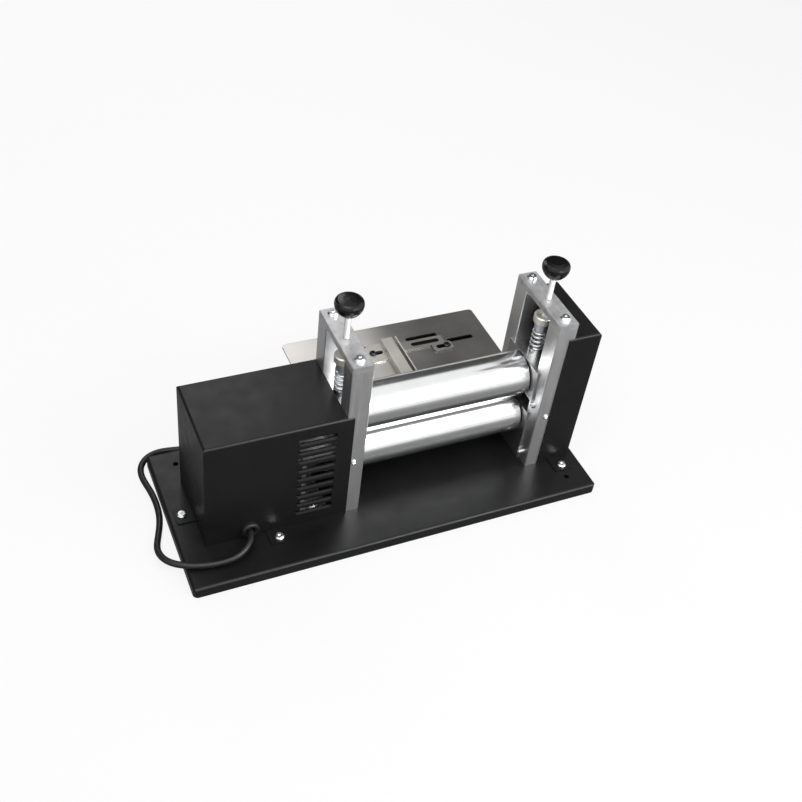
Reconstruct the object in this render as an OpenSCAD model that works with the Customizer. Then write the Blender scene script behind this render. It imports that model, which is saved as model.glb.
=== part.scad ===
// Leather skiving machine. Two geared rollers, held in spring-loaded portals on a base plate,
// pull a strip of leather along a feed table and past a fixed blade. Millimetres, +Z up,
// +X along the rollers towards the gear cover, +Y towards the feed table.
// The origin is the centre of the four fixing holes, on the underside of the base plate.

/* [Base plate] */
// Length of the base plate
base_l = 420; // [412:2:520]
// Depth of the base plate
base_w = 175; // [168:1:220]
// Thickness of the base plate
base_t = 11; // [8:0.5:16]
// Corner radius of the base plate
base_corner_r = 5; // [4:0.5:10]
// Rounding along the upper edges of the base plate
base_edge_r = 3; // [1:0.5:3.5]
// Distance of the fixing holes from the short sides
hole_end = 25; // [18:1:30]
// Distance of the fixing holes from the long sides
hole_side = 19.5; // [12:0.5:20]
// Diameter of the fixing holes
hole_d = 5.5; // [4.5:0.1:6]

/* [Portals] */
// Clear distance between the two portals
portal_span = 185; // [170:1:189]
// Thickness of a portal, along the rollers
portal_t = 20; // [18:0.5:22]
// Depth of a portal, front to rear
portal_depth = 84; // [82:0.5:92]
// Height of a portal above the base plate, bar included
portal_h = 184; // [180:1:210]
// Depth of a post, front to rear
post_depth = 19; // [17:0.5:20]
// Thickness of a top bar
bar_t = 6.5; // [5:0.5:12]
// Place of the middle of the rollers, from the middle of the base plate
frame_mid_x = 58; // [55:0.5:60]
// Place of the roller axes, in front of or behind the middle of the base plate
frame_mid_y = 1; // [-3:0.5:4]
// Chamfer along the edges of the posts and bars
post_chamfer = 0.6; // [0.3:0.1:1]

/* [Rollers] */
// Length of a roller
roller_len = 178; // [164:0.5:179]
// Diameter of a roller
roller_d = 45; // [42:0.5:46]
// Height of the lower roller axis above the base plate
lower_axis_h = 45; // [43:0.5:50]
// Gap between the rollers when the upper one rests on its stops
roller_gap = 4.6; // [4.3:0.1:6]
// Diameter of the journals
journal_d = 16; // [14:0.5:17]
// Chamfer at the ends of a roller
roller_chamfer = 0.8; // [0.4:0.1:1.5]

/* [Gears] */
// Number of teeth of each gear
gear_teeth = 14; // [12:2:18]
// Width of a gear
gear_w = 16; // [10:0.5:18]
// Height of a tooth above the pitch circle
gear_addendum = 3.6; // [3:0.1:3.8]
// Play between the teeth, along the pitch circle
gear_backlash = 0.7; // [0.4:0.1:1.2]

/* [Bearings] */
// Height of a lower bearing block above the roller axis
lower_block_rise = 17.5; // [15:0.5:19]
// Height of an upper bearing block above the roller axis
upper_block_rise = 21; // [16:0.5:24]
// Depth of an upper bearing block below the roller axis
upper_block_drop = 15.3; // [13.5:0.1:16]
// Thickness of the bearing flange on the inner face
flange_t = 2.2; // [1.5:0.1:2.4]
// Lap of the upper flange over the posts
upper_flange_lap = 6; // [4:0.5:8]
// Lap of the lower flange over the posts
lower_flange_lap = 5; // [4:0.5:5.5]
// Wall of a bronze bush
bush_wall = 3; // [2:0.5:3.5]

/* [Pressure springs] */
// Outer diameter of a spring
spring_d = 15.5; // [14:0.5:16.5]
// Diameter of the spring wire
wire_d = 2.4; // [1.8:0.1:2.6]
// Number of turns of a spring
spring_turns = 4; // [3:0.5:5]
// Length of a spring at rest
spring_len = 22.5; // [20:0.5:26]
// Height of a spring seat
seat_h = 9; // [6:0.5:12]
// Diameter of a spring cap
cap_d = 19; // [16:0.2:19.4]
// Height of the head of a spring cap
cap_h = 7.5; // [7:0.5:10]
// Length of the neck of a spring cap
cap_neck_l = 10; // [8:0.5:12]
// Diameter of the neck of a spring cap
cap_neck_d = 14.2; // [13:0.1:15]

/* [Adjusting screws and knobs] */
// Diameter of an adjusting screw
rod_d = 6; // [5:0.5:8]
// Length of an adjusting screw that shows above the bar
rod_show = 24.3; // [18:0.1:30]
// Diameter of a knob
knob_d = 26.6; // [22:0.2:32]
// Height of a knob
knob_h = 18.2; // [16:0.1:24]
// Diameter of the neck of a knob
knob_neck_d = 9; // [8:0.5:12]

/* [Motor box and gear cover] */
// Length of the motor box, from the portal outwards
box_l = 132; // [130:0.5:136]
// Height of the motor box above the base plate
box_h = 126; // [120:1:140]
// Length of the gear cover, from the portal outwards
cover_l = 29; // [27:0.5:34]
// Height of the gear cover above the base plate
cover_h = 166; // [150:1:174]
// Thickness of the sheet
sheet_t = 1.2; // [1:0.1:1.6]
// Outer radius of the bends
bend_r = 2.6; // [2:0.1:4]
// Lap of the box over the left portal
box_lap = 6.5; // [4:0.5:8]
// Lap of the cover over the right portal
cover_lap = 6; // [4:0.5:6.5]
// Number of vent slots
vent_count = 9; // [5:1:9]
// Length of a vent slot
vent_l = 37; // [20:1:40]
// Height of a vent slot
vent_h = 4.4; // [3:0.1:6]
// Distance from slot to slot
vent_pitch = 11.4; // [8:0.1:11.8]
// Distance of the lowest slot above the base plate
vent_low = 19; // [14:0.5:22]
// Distance from the last slot end to the portal
vent_side = 9; // [8:0.5:20]
// Width of a screwed tab
tab_w = 20; // [16:0.5:24]
// Length of a screwed tab
tab_l = 17; // [14:0.5:18]

/* [Motor and gearbox] */
// Side of the gearbox and the bracket
gearbox_side = 78; // [70:1:80]
// Length of the gearbox
gearbox_l = 34; // [28:1:36]
// Diameter of the motor
motor_d = 76; // [60:1:78]
// Clear distance from the end of the motor to the end wall of the box
motor_clear = 7.3; // [5:0.1:16]
// Thickness of the bracket plate
bracket_t = 4; // [3:0.5:5]
// Length of the bracket lip and foot
bracket_lip = 26; // [20:1:28]
// Diameter of the shaft coupling
coupling_d = 30; // [26:1:34]
// Diameter of the gearbox shaft
gear_shaft_d = 12; // [10:0.5:14]

/* [Feed table] */
// Length of the feed table, along the rollers
table_l = 218.5; // [212:0.5:218.5]
// Depth of the feed table
table_w = 92; // [80:1:110]
// Thickness of the feed table
table_t = 2; // [1.5:0.1:2.5]
// Depth of the cut, from the table to the blade
skive_depth = 1; // [0.6:0.1:1.4]
// Width of the slots in the table and the guides
slot_w = 5.5; // [4.8:0.1:6.5]

/* [Guides] */
// Clear width between the guides
guide_gap = 14.5; // [14.5:0.5:20]
// Height of the guides above the table
guide_h = 8.2; // [6:0.2:12]
// Length of the guides
guide_l = 61; // [56:1:66]
// Thickness of the guide sheet
guide_t = 1.5; // [1.2:0.1:1.6]
// Width of the hold-down plate over the strip
plate_w = 12.5; // [8:0.5:12.5]

/* [Blade] */
// Width of the blade, front to rear
blade_w = 26; // [22:0.5:28]
// Thickness of the blade
blade_t = 2; // [1.5:0.1:2.5]
// Depth of the blade holder, front to rear
holder_w = 11; // [9:0.5:11]
// Height of the blade holder
holder_h = 16; // [12:0.5:20]

/* [Mains lead] */
// Diameter of the mains lead
cord_d = 6.2; // [5:0.1:7]
// Turns in each layer of the coil
coil_turns = 2.75; // [2.25:0.5:3.25]
// Diameter of the coil at the middle of its turns
coil_mid_d = 68; // [62:1:74]

/* [Hidden] */

// Smoothness of large and of small round shapes
$fn = 64;
small_fn = 32;
// Overrun of every cut past the face it opens
overrun = 1;

// Fits and clearances
shaft_fit = 0.05;
seat_fit = 0.03;
slide_fit = 0.15;
rest_gap = 0.3;
screw_fit = 0.1;
thread_clear = 1;
floor_gap = 0.1;

// Places that follow from the driving sizes
inner_x = portal_span/2;
outer_x = inner_x + portal_t;
mid_post_x = inner_x + portal_t/2;
half_depth = portal_depth/2;
window_half = half_depth - post_depth;
mid_post_y = half_depth - post_depth/2;
post_h = portal_h - bar_t;
portal_top = base_t + portal_h;
lower_z = base_t + lower_axis_h;
upper_z = lower_z + roller_d + roller_gap;
nip_z = lower_z + roller_d/2;

// Screws: shank, head and socket sizes
small_screw_d = 4;
small_head_d = 7;
small_head_h = 2.4;
screw_d = 5;
head_d = 9;
head_h = 2.8;
socket_d = 3;
socket_depth = 1.4;
bolt_d = 6;
head_bevel_share = 0.45;
set_screw_share = 0.75;

// Bearing blocks and their screws
upper_block_bottom = upper_z - upper_block_drop;
upper_block_top = upper_z + upper_block_rise;
lower_block_top = lower_z + lower_block_rise;
upper_flange_half = window_half + upper_flange_lap;
lower_flange_half = window_half + lower_flange_lap;
stop_offset = 1.2;
stop_y = upper_flange_half + stop_offset;
stop_z = upper_block_bottom - rest_gap - sqrt(pow(small_head_d/2, 2) - pow(stop_offset, 2));
retainer_y = lower_flange_half + small_screw_d/2 + screw_fit;
retainer_h = 10;
retainer_z = base_t + retainer_h;
retainer_grip = 6;
stop_grip = 12;
bush_d = journal_d + 2*bush_wall;
journal_step = 2;

// Gears and shaft ends
gear_gap = 2;
gear_start = outer_x + gear_gap;
gear_end = gear_start + gear_w;
gear_root_play = 0.6;
pressure_angle = 25;
pitch_r = (roller_d + roller_gap)/2;
washer_d = 22;
washer_t = 1.6;
end_screw_d = 10;
end_screw_h = 4.5;
shaft_recess = 0.4;

// Coupling, gearbox and motor, all on the lower axis, outwards from the left portal
coupling_clear = 3.5;
coupling_l = 26;
shaft_gap = 1;
set_screw_in = 6;
bracket_clear = 6;
bracket_over = 2;
gearbox_boss_d = 30;
gearbox_corner = 6;
motor_groove = 2;
motor_band_share = 0.16;
bracket_foot_share = 0.36;
gearbox_screw_share = 0.38;
coupling_start = outer_x + coupling_clear;
journal_out = coupling_start + coupling_l/2 - shaft_gap/2;
shaft_tip = journal_out + shaft_gap;
bracket_face = coupling_start + coupling_l + bracket_clear;
bracket_h = lower_axis_h + gearbox_side/2 + bracket_over;
gearbox_start = bracket_face + bracket_t;
motor_start = gearbox_start + gearbox_l;
shaft_end = gearbox_start + gearbox_l/2;

// Springs, caps and screws above the upper blocks
seat_top = upper_block_top + seat_h;
cap_bottom = seat_top + spring_len;
cap_shoulder = cap_bottom + cap_neck_l;
cap_top = cap_shoulder + cap_h;
wire_r = wire_d/2;
coil_r = spring_d/2 - wire_r;
spigot_play = 1;
spigot_d = spring_d - 2*wire_d - 2*spigot_play;
spigot_l = 5;
cap_hole_depth = 6;
cap_play = 0.4;
cap_rim = 1.6;
cap_chamfer = 1;
rod_chamfer = 0.8;
knob_bottom = portal_top + rod_show;

// Motor box and gear cover
box_left = outer_x + box_l;
cover_right = outer_x + cover_l;
box_top = base_t + box_h;
cover_top = base_t + cover_h;
sheet_half = half_depth + sheet_t;
tab_screw_out = 10.5;
tab_corner_r = 3;
box_tab_place = 64;
box_tab_x = outer_x + box_tab_place;
cover_tab_place = 12;
cover_tab_x = cover_right - cover_tab_place;

// The motor fills the box up to the clear distance at its end wall
motor_l = box_left - sheet_t - motor_clear - motor_start;

// Switch in the rear wall of the box
switch_place = 35.5;
switch_drop = 19;
switch_x = outer_x + switch_place;
switch_z = box_top - switch_drop;
switch_w = 21;
switch_h = 14;
switch_rim = 1.5;
switch_proud = 2;
switch_depth = 18;
rocker_pocket = 6;
rocker_rest = 10;
rocker_pivot = 0.5;
rocker_pin_d = 2.4;
rocker_pin_l = 12;
rocker_play = 1.1;
rocker_side_play = 0.5;
rocker_proud = 1;
rocker_dip_share = 0.6;
rocker_foot_share = 0.86;

// Feed table, guides and blade
blade_top = nip_z;
table_top = blade_top - skive_depth;
table_under = table_top - table_t;
table_clear = 2.2;
table_front = half_depth + table_clear;
table_corner_r = 4;
table_left = outer_x;
guide_back = 2;
guide_front = table_front + guide_back;
guide_top = table_top + guide_h;
foot_low = table_top + slide_fit;
clamp_d = 4;
clamp_head_d = 7;
clamp_head_h = 2.2;
nut_d = 8.1;
nut_h = 3.2;
clamp_gap = 0.2;
channel_left = -13;
left_slot_out = 10.8;
left_slot_in = 50.3;
left_slot_l = 15;
left_foot_r = 13;
left_foot_shift = 1;
left_clamp_shift = 3.6;
left_slot_x = channel_left - left_slot_out;
left_slot_y = table_front + left_slot_in;
left_clamp_x = left_slot_x - left_clamp_shift;
channel_right = channel_left + guide_gap;
right_slot_out = 48;
right_slot_in = 41.8;
right_slot_l = 16.5;
right_clamp_shift = 3.5;
right_foot_in = 45.8;
right_foot_w = 13;
right_foot_l = 52;
ear_w = 12;
ear_margin = 3;
ear_corner_r = 3;
ear_shift = 1;
foot_slot_out = 31;
foot_slot_l = 32;
right_slot_x = channel_right + right_slot_out;
right_slot_y = table_front + right_slot_in;
right_clamp_x = right_slot_x + right_clamp_shift;
foot_slot_x = channel_right + foot_slot_out;
foot_slot_y = table_front + right_foot_in + right_foot_w/2;
guide_slots = [[left_slot_x, left_slot_y, left_slot_l], [right_slot_x, right_slot_y, right_slot_l],
    [foot_slot_x, foot_slot_y, foot_slot_l]];
holder_clear = 1;
holder_front = window_half + upper_flange_lap + holder_clear;
holder_top = blade_top - blade_t;
blade_over = 0.5;
blade_rear = half_depth + blade_over;
blade_bevel = 5.5;

// Grommet and mains lead
grommet_in = 42.5;
grommet_h = 11.6;
grommet_x = box_left - grommet_in;
grommet_z = base_t + grommet_h;
grommet_d = 17;
grommet_ring = 2.4;
grommet_lip = 1;
cord_r = cord_d/2;
cord_floor = cord_r + floor_gap;
cord_sides = 10;
loop_sides = 6;
// Route of the lead in the frame of the whole machine: out of the grommet, along the base
// plate, over its left edge, on the floor close to its left and rear sides and away behind it
cord_route = [
    [-144.5, -43.3, 22.6], [-145.1, -48.9, 22.5], [-147.6, -55.4, 21.8], [-152.2, -61.1, 20.4],
    [-158.5, -65.2, 18.6], [-165.9, -67.2, 16.9], [-174.4, -67.4, 15.5], [-184, -66.4, 14.6],
    [-194, -64.6, 14.3], [-202, -62.5, 14.3], [-209.5, -59.6, 14.3], [-216.6, -55.5, 13.9],
    [-222.5, -49.6, 12.7], [-226.5, -42, 11.1], [-228.1, -33.4, 9.3], [-227.3, -24.6, 7.4],
    [-223.6, -13.8, 5.2], [-219.2, -1.6, 3.7], [-215.8, 10, 3.2], [-214.2, 22, 3.2],
    [-214.2, 36, 3.2], [-215.6, 49, 3.2], [-218.2, 61, 3.2], [-219, 71, 3.2],
    [-217.6, 79.8, 3.2], [-213.2, 87.6, 3.2], [-206.4, 93.4, 3.2], [-197.8, 96.4, 3.2],
    [-188, 96.3, 3.2], [-176, 94, 3.2], [-162, 91.9, 3.2], [-140, 91.4, 3.2],
    [-110, 91.4, 3.2], [-80, 91.4, 3.2], [-54, 92, 3.2], [-30, 94.6, 3.2],
    [-8, 98, 3.2], [10, 100.2, 3.2], [24, 100.6, 3.2], [32, 100.6, 3.2]];
coil_x = 40;
coil_lead = 8;
coil_gap = 0.45;
loop_rings = 24;
tail_l = 24;
tail_rings = 4;
plug_l = 38;
plug_w = 24;
plug_corner_r = 6;
plug_sleeve_share = 0.35;
plug_sleeve_low = 0.5;
plug_sleeve_high = 2.2;
plug_pin_l = 17;
blade_pin_y = 6.35;
blade_pin_z = 2.2;
blade_pin_w = 1.5;
blade_pin_h = 6.3;
earth_pin_z = 5.4;
earth_pin_d = 4.8;
earth_pin_more = 2;

// Helpers

// Children on the right portal for side 1, mirrored onto the left one for side -1
module on_side(side) {
    translate([frame_mid_x, frame_mid_y, 0])
        if (side > 0) children();
        else mirror([1, 0, 0]) children();
}

// A block given by its lowest and highest corners
module block(low, high) {
    translate(low) cube(high - low);
}

// A cylinder along X, from one x to another
module bar_x(d, x1, x2) {
    translate([x1, 0, 0]) rotate([0, 90, 0]) cylinder(d = d, h = x2 - x1);
}

// A cylinder along Y, from one y to another
module bar_y(d, y1, y2) {
    translate([0, y1, 0]) rotate([-90, 0, 0]) cylinder(d = d, h = y2 - y1);
}

// A flat rectangle with round corners, around the origin
module round_rect(l, w, r) {
    square([l - 2*r, w], center = true);
    square([l, w - 2*r], center = true);
    for (sx = [-1, 1], sy = [-1, 1])
        translate([sx*(l/2 - r), sy*(w/2 - r)]) circle(r = r, $fn = small_fn);
}

// A slot with round ends, around the origin, along X
module slot(l, w) {
    square([l - w, w], center = true);
    for (s = [-1, 1])
        translate([s*(l - w)/2, 0]) circle(d = w, $fn = small_fn);
}

// What a quarter round takes off an edge that runs along X through the origin,
// with the material below and behind it
module edge_cut(l, r) {
    difference() {
        translate([-l/2, -overrun, -r]) cube([l, r + overrun, r + overrun]);
        translate([-l/2, r, -r]) rotate([0, 90, 0]) cylinder(r = r, h = l, $fn = small_fn);
    }
}

// A post: an upright bar with its four long edges chamfered
module chamfer_bar(x, y, h) {
    c = post_chamfer;
    linear_extrude(height = h)
        polygon([[c, 0], [x - c, 0], [x, c], [x, y - c], [x - c, y], [c, y], [0, y - c], [0, c]]);
}

// A screw that points down, its head on the plane z = 0
module screw(shank, length, head, head_height) {
    difference() {
        union() {
            translate([0, 0, -length]) cylinder(d = shank, h = length, $fn = small_fn);
            rotate_extrude($fn = small_fn)
                polygon([[0, 0], [head/2, 0], [head/2, head_height*(1 - head_bevel_share)],
                    [head/2 - head_height*head_bevel_share, head_height], [0, head_height]]);
        }
        translate([0, 0, head_height - socket_depth])
            cylinder(d = socket_d, h = socket_depth + overrun, $fn = 6);
    }
}

// The hole for such a screw
module screw_hole(shank, length) {
    translate([0, 0, -length - screw_fit])
        cylinder(d = shank + 2*screw_fit, h = length + screw_fit + overrun, $fn = small_fn);
}

// A tube of triangles along a path; outs are directions away from the path at each point
function unit(v) = v/norm(v);
function tangent(path, i) = unit(path[min(i + 1, len(path) - 1)] - path[max(i - 1, 0)]);
function ring(p, t, out, r, sides) =
    let (u = unit(out - t*(out*t)), v = cross(t, u))
    [for (k = [0:sides - 1]) p + r*(cos(360*k/sides)*u + sin(360*k/sides)*v)];
module tube(path, outs, r, sides) {
    n = len(path);
    points = [for (i = [0:n - 1]) each ring(path[i], tangent(path, i), outs[i], r, sides)];
    walls = [for (i = [0:n - 2], k = [0:sides - 1])
        let (a = i*sides + k, b = i*sides + (k + 1) % sides)
        each [[a, a + sides, b], [b, a + sides, b + sides]]];
    caps = [for (k = [1:sides - 2])
        each [[0, k, k + 1], [(n - 1)*sides, (n - 1)*sides + k + 1, (n - 1)*sides + k]]];
    polyhedron(points = points, faces = concat(walls, caps), convexity = 10);
}

// Smallest gap between stretches of a tube that are at least skip rings apart
function self_gap(path, d, skip) =
    min([for (i = [0:len(path) - 1 - skip], j = [i + skip:len(path) - 1]) norm(path[i] - path[j])]) - d;
function length_to(path, i) = i < 1 ? 0 : norm(path[i] - path[i - 1]) + length_to(path, i - 1);
function path_length(path) = length_to(path, len(path) - 1);

// Base plate

fixing_x = base_l/2 - hole_end;
fixing_y = base_w/2 - hole_side;
portal_feet = [for (s = [-1, 1], f = [-1, 1])
    [frame_mid_x + s*mid_post_x, frame_mid_y + f*mid_post_y]];
tab_screws = [
    [frame_mid_x - box_tab_x, frame_mid_y - sheet_half - tab_screw_out],
    [frame_mid_x - box_tab_x, frame_mid_y + sheet_half + tab_screw_out],
    [frame_mid_x - box_left - tab_screw_out, frame_mid_y],
    [frame_mid_x + cover_tab_x, frame_mid_y - sheet_half - tab_screw_out],
    [frame_mid_x + cover_tab_x, frame_mid_y + sheet_half + tab_screw_out]];
tab_screw_l = 8;
foot_screw_l = 24;
foot_head_d = 11.5;
foot_head_h = 3.5;
foot_recess = 0.4;
bracket_screw_l = 10;
bracket_feet = [for (f = [-1, 1])
    [frame_mid_x - bracket_face + bracket_lip/2,
    frame_mid_y + f*gearbox_side*bracket_foot_share]];

module base_plate() {
    color([0.13, 0.13, 0.14])
    difference() {
        linear_extrude(height = base_t) round_rect(base_l, base_w, base_corner_r);
        for (turn = [0, 180]) {
            rotate([0, 0, turn]) translate([0, -base_w/2, base_t])
                edge_cut(base_l + 2*overrun, base_edge_r);
            rotate([0, 0, turn + 90]) translate([0, -base_l/2, base_t])
                edge_cut(base_w + 2*overrun, base_edge_r);
        }
        for (sx = [-1, 1], sy = [-1, 1])
            translate([sx*fixing_x, sy*fixing_y, -overrun])
                cylinder(d = hole_d, h = base_t + 2*overrun, $fn = small_fn);
        for (p = tab_screws)
            translate([p[0], p[1], base_t]) screw_hole(screw_d, tab_screw_l);
        for (p = bracket_feet)
            translate([p[0], p[1], base_t]) screw_hole(screw_d, bracket_screw_l - bracket_t);
        for (p = portal_feet)
            translate([p[0], p[1], -overrun]) {
                cylinder(d = bolt_d + 2*screw_fit, h = base_t + 2*overrun, $fn = small_fn);
                cylinder(d = foot_head_d + 2*screw_fit, h = overrun + foot_recess + foot_head_h,
                    $fn = small_fn);
            }
    }
}

// The screws that hold the posts, from below
module foot_screws() {
    color("silver")
    for (p = portal_feet)
        translate([p[0], p[1], foot_recess]) {
            cylinder(d = foot_head_d, h = foot_head_h, $fn = small_fn);
            cylinder(d = bolt_d, h = foot_screw_l, $fn = small_fn);
        }
}

// Portals

bar_screw_l = 20;
bar_head_d = 10.5;
bar_head_h = 3.4;
side_screw_over = 4.3;
side_screw_z = lower_block_top + side_screw_over;
side_screw_d = 4;
holder_screw_z = holder_top - holder_h/2;
holder_screw_y = holder_front + holder_w/2;
leg_t = 3;
leg_h = 36;
arm_l = 58;
shelf_l = 80;
shelf_t = 2;
shelf_drop = 4.6;
shelf_middle_gap = 1;
table_screw_shares = [0.33, 0.78];
table_screw_z = [for (p = table_screw_shares) table_under - p*leg_h];
table_screw_l = 12;
leg_side = 0.5;
leg_w = portal_t - box_lap - leg_side;
leg_x = inner_x + leg_w/2;

// Front post, at the front of the right portal
module front_post_shape() {
    difference() {
        translate([inner_x, -half_depth, base_t]) chamfer_bar(portal_t, post_depth, post_h);
        post_holes(-1);
        translate([mid_post_x, -half_depth, side_screw_z]) rotate([90, 0, 0])
            screw_hole(side_screw_d, post_depth);
    }
}

// Rear post, with the screws of the blade holder and the table bracket
module rear_post_shape() {
    difference() {
        translate([inner_x, window_half, base_t]) chamfer_bar(portal_t, post_depth, post_h);
        post_holes(1);
        translate([0, holder_screw_y, holder_screw_z])
            bar_x(screw_d + 2*screw_fit, inner_x - overrun, outer_x + overrun);
        for (z = table_screw_z)
            translate([leg_x, half_depth, z]) rotate([-90, 0, 0]) screw_hole(screw_d, table_screw_l);
    }
}

// Holes that both posts of a portal have: foot screw, bar screw and block screws
module post_holes(f) {
    translate([mid_post_x, f*mid_post_y, 0])
        cylinder(d = bolt_d + 2*screw_fit, h = foot_screw_l + foot_recess + thread_clear,
            $fn = small_fn);
    translate([mid_post_x, f*mid_post_y, portal_top])
        screw_hole(screw_d, bar_screw_l);
    for (p = [[stop_y, stop_z, stop_grip], [retainer_y, retainer_z, retainer_grip]])
        translate([inner_x, f*p[0], p[1]]) rotate([0, -90, 0])
            screw_hole(small_screw_d, p[2]);
}

module top_bar_shape() {
    c = post_chamfer;
    difference() {
        translate([inner_x, -half_depth, portal_top - bar_t]) difference() {
            chamfer_bar(portal_t, portal_depth, bar_t);
            for (x = [0, portal_t])
                translate([x, portal_depth/2, bar_t]) rotate([0, 45, 0])
                    cube([c*sqrt(2), portal_depth + overrun, c*sqrt(2)], center = true);
        }
        for (f = [-1, 1])
            translate([mid_post_x, f*mid_post_y, portal_top]) screw_hole(screw_d, bar_screw_l);
        translate([mid_post_x, 0, portal_top - bar_t - overrun])
            cylinder(d = rod_d + 2*shaft_fit, h = bar_t + 2*overrun, $fn = small_fn);
    }
}

module left_front_post() {
    color([0.6, 0.6, 0.62]) on_side(-1) front_post_shape();
}

module left_rear_post() {
    color([0.6, 0.6, 0.62]) on_side(-1) rear_post_shape();
}

module left_top_bar() {
    color([0.72, 0.72, 0.74]) on_side(-1) top_bar_shape();
}

module right_front_post() {
    color([0.6, 0.6, 0.62]) on_side(1) front_post_shape();
}

module right_rear_post() {
    color([0.6, 0.6, 0.62]) on_side(1) rear_post_shape();
}

module right_top_bar() {
    color([0.72, 0.72, 0.74]) on_side(1) top_bar_shape();
}

module top_bar_screws() {
    color("white")
    for (s = [-1, 1], f = [-1, 1])
        on_side(s) translate([mid_post_x, f*mid_post_y, portal_top])
            screw(screw_d, bar_screw_l, bar_head_d, bar_head_h);
}

// Set screws in the front faces; they reach over the lower blocks
module side_screws() {
    color("silver")
    for (s = [-1, 1])
        on_side(s) translate([mid_post_x, -half_depth, side_screw_z]) rotate([90, 0, 0])
            screw(side_screw_d, post_depth - thread_clear, small_head_d*set_screw_share, socket_depth);
}

// Stop screws under the upper flanges and retainer screws beside the lower ones
module block_screws() {
    color("silver")
    for (s = [-1, 1], f = [-1, 1])
        on_side(s) {
            translate([inner_x, f*stop_y, stop_z]) rotate([0, -90, 0])
                screw(small_screw_d, stop_grip - thread_clear, small_head_d, small_head_h);
            translate([inner_x - flange_t - seat_fit, f*retainer_y, retainer_z])
                rotate([0, -90, 0])
                screw(small_screw_d, retainer_grip - thread_clear + flange_t,
                    small_head_d*set_screw_share, socket_depth);
        }
}

// Bearings

// A block in the window of a portal, with a flange against the inner faces of the posts
module bearing_block(low, high, axis, half_w, flange_half, flange_gap) {
    difference() {
        union() {
            block([inner_x - flange_gap - flange_t, -half_w, low],
                [outer_x - rest_gap, half_w, high]);
            block([inner_x - flange_gap - flange_t, -flange_half, low],
                [inner_x - flange_gap, flange_half, high]);
        }
        translate([0, 0, axis])
            bar_x(bush_d + 2*seat_fit, inner_x - flange_gap - flange_t - overrun, outer_x + overrun);
    }
}

module lower_block_shape() {
    bearing_block(base_t, lower_block_top, lower_z, window_half, lower_flange_half, 0);
}

module upper_block_shape() {
    bearing_block(upper_block_bottom, upper_block_top, upper_z, window_half - slide_fit,
        upper_flange_half, slide_fit);
}

module bush_shape(axis, flange_gap) {
    translate([0, 0, axis])
        difference() {
            bar_x(bush_d, inner_x - flange_gap - flange_t, outer_x - rest_gap);
            bar_x(journal_d + 2*shaft_fit, inner_x - flange_t - overrun, outer_x + overrun);
        }
}

module lower_left_block() {
    color([0.66, 0.66, 0.67]) on_side(-1) lower_block_shape();
}

module lower_right_block() {
    color([0.66, 0.66, 0.67]) on_side(1) lower_block_shape();
}

module lower_bushes() {
    color([0.72, 0.55, 0.3])
    for (s = [-1, 1])
        on_side(s) bush_shape(lower_z, 0);
}

module upper_left_block() {
    color([0.66, 0.66, 0.67]) on_side(-1) upper_block_shape();
}

module upper_right_block() {
    color([0.66, 0.66, 0.67]) on_side(1) upper_block_shape();
}

module upper_bushes() {
    color([0.72, 0.55, 0.3])
    for (s = [-1, 1])
        on_side(s) bush_shape(upper_z, slide_fit);
}

// Rollers and gears

// A roller turned in one piece with its journals, from the left shaft end to the right one
module roller_shape(axis, left_end) {
    r = roller_d/2;
    j = journal_d/2;
    c = roller_chamfer;
    half = roller_len/2;
    shoulder_r = j + journal_step;
    shoulder = inner_x - flange_t - slide_fit - rest_gap;
    right_end = gear_end - shaft_recess;
    translate([frame_mid_x, frame_mid_y, axis]) rotate([0, 90, 0])
        rotate_extrude()
        polygon([[0, -left_end], [j - c, -left_end], [j, c - left_end], [j, -shoulder],
            [shoulder_r, -shoulder], [shoulder_r, -half], [r - c, -half], [r, c - half],
            [r, half - c], [r - c, half], [shoulder_r, half], [shoulder_r, shoulder],
            [j, shoulder], [j, right_end - c], [j - c, right_end], [0, right_end]]);
}

// Half the angle of a tooth at a radius, from its angle at the pitch circle
function inv(a) = tan(a)*180/PI - a;
base_r = pitch_r*cos(pressure_angle);
tip_r = pitch_r + gear_addendum;
root_r = pitch_r - gear_addendum - gear_root_play;
pitch_half = 90/gear_teeth - gear_backlash/2/pitch_r*180/PI/2;
function tooth_half(r) = pitch_half + inv(pressure_angle) - inv(acos(min(1, base_r/r)));
function polar(r, a) = [r*cos(a), r*sin(a)];
flank_steps = 5;
function flank_r(k) = base_r + (tip_r - base_r)*k/flank_steps;
function tooth(a) = concat(
    [polar(root_r, a - tooth_half(base_r))],
    [for (k = [0:flank_steps]) polar(flank_r(k), a - tooth_half(flank_r(k)))],
    [for (k = [flank_steps:-1:0]) polar(flank_r(k), a + tooth_half(flank_r(k)))],
    [polar(root_r, a + tooth_half(base_r))]);

module gear_shape(axis, phase) {
    translate([frame_mid_x + gear_start, frame_mid_y, axis])
        rotate([90, 0, 90])
        linear_extrude(height = gear_w) difference() {
            polygon([for (i = [0:gear_teeth - 1]) each tooth(90 + phase + 360*i/gear_teeth)]);
            circle(d = journal_d + 2*seat_fit);
        }
}

// Washer and screw on the end of a shaft
module end_screw(axis) {
    translate([frame_mid_x, frame_mid_y, axis]) {
        bar_x(washer_d, gear_end, gear_end + washer_t);
        difference() {
            bar_x(end_screw_d, gear_end + washer_t, gear_end + washer_t + end_screw_h);
            translate([gear_end + washer_t + end_screw_h - socket_depth, 0, 0]) rotate([0, 90, 0])
                cylinder(d = end_screw_d/2, h = socket_depth + overrun, $fn = 6);
        }
    }
}

module lower_roller() {
    color([0.85, 0.86, 0.88]) roller_shape(lower_z, journal_out);
}

module upper_roller() {
    color([0.85, 0.86, 0.88]) roller_shape(upper_z, outer_x - rest_gap);
}

module lower_gear() {
    color([0.45, 0.45, 0.47]) gear_shape(lower_z, 0);
}

module upper_gear() {
    color([0.45, 0.45, 0.47]) gear_shape(upper_z, 180/gear_teeth);
}

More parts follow.
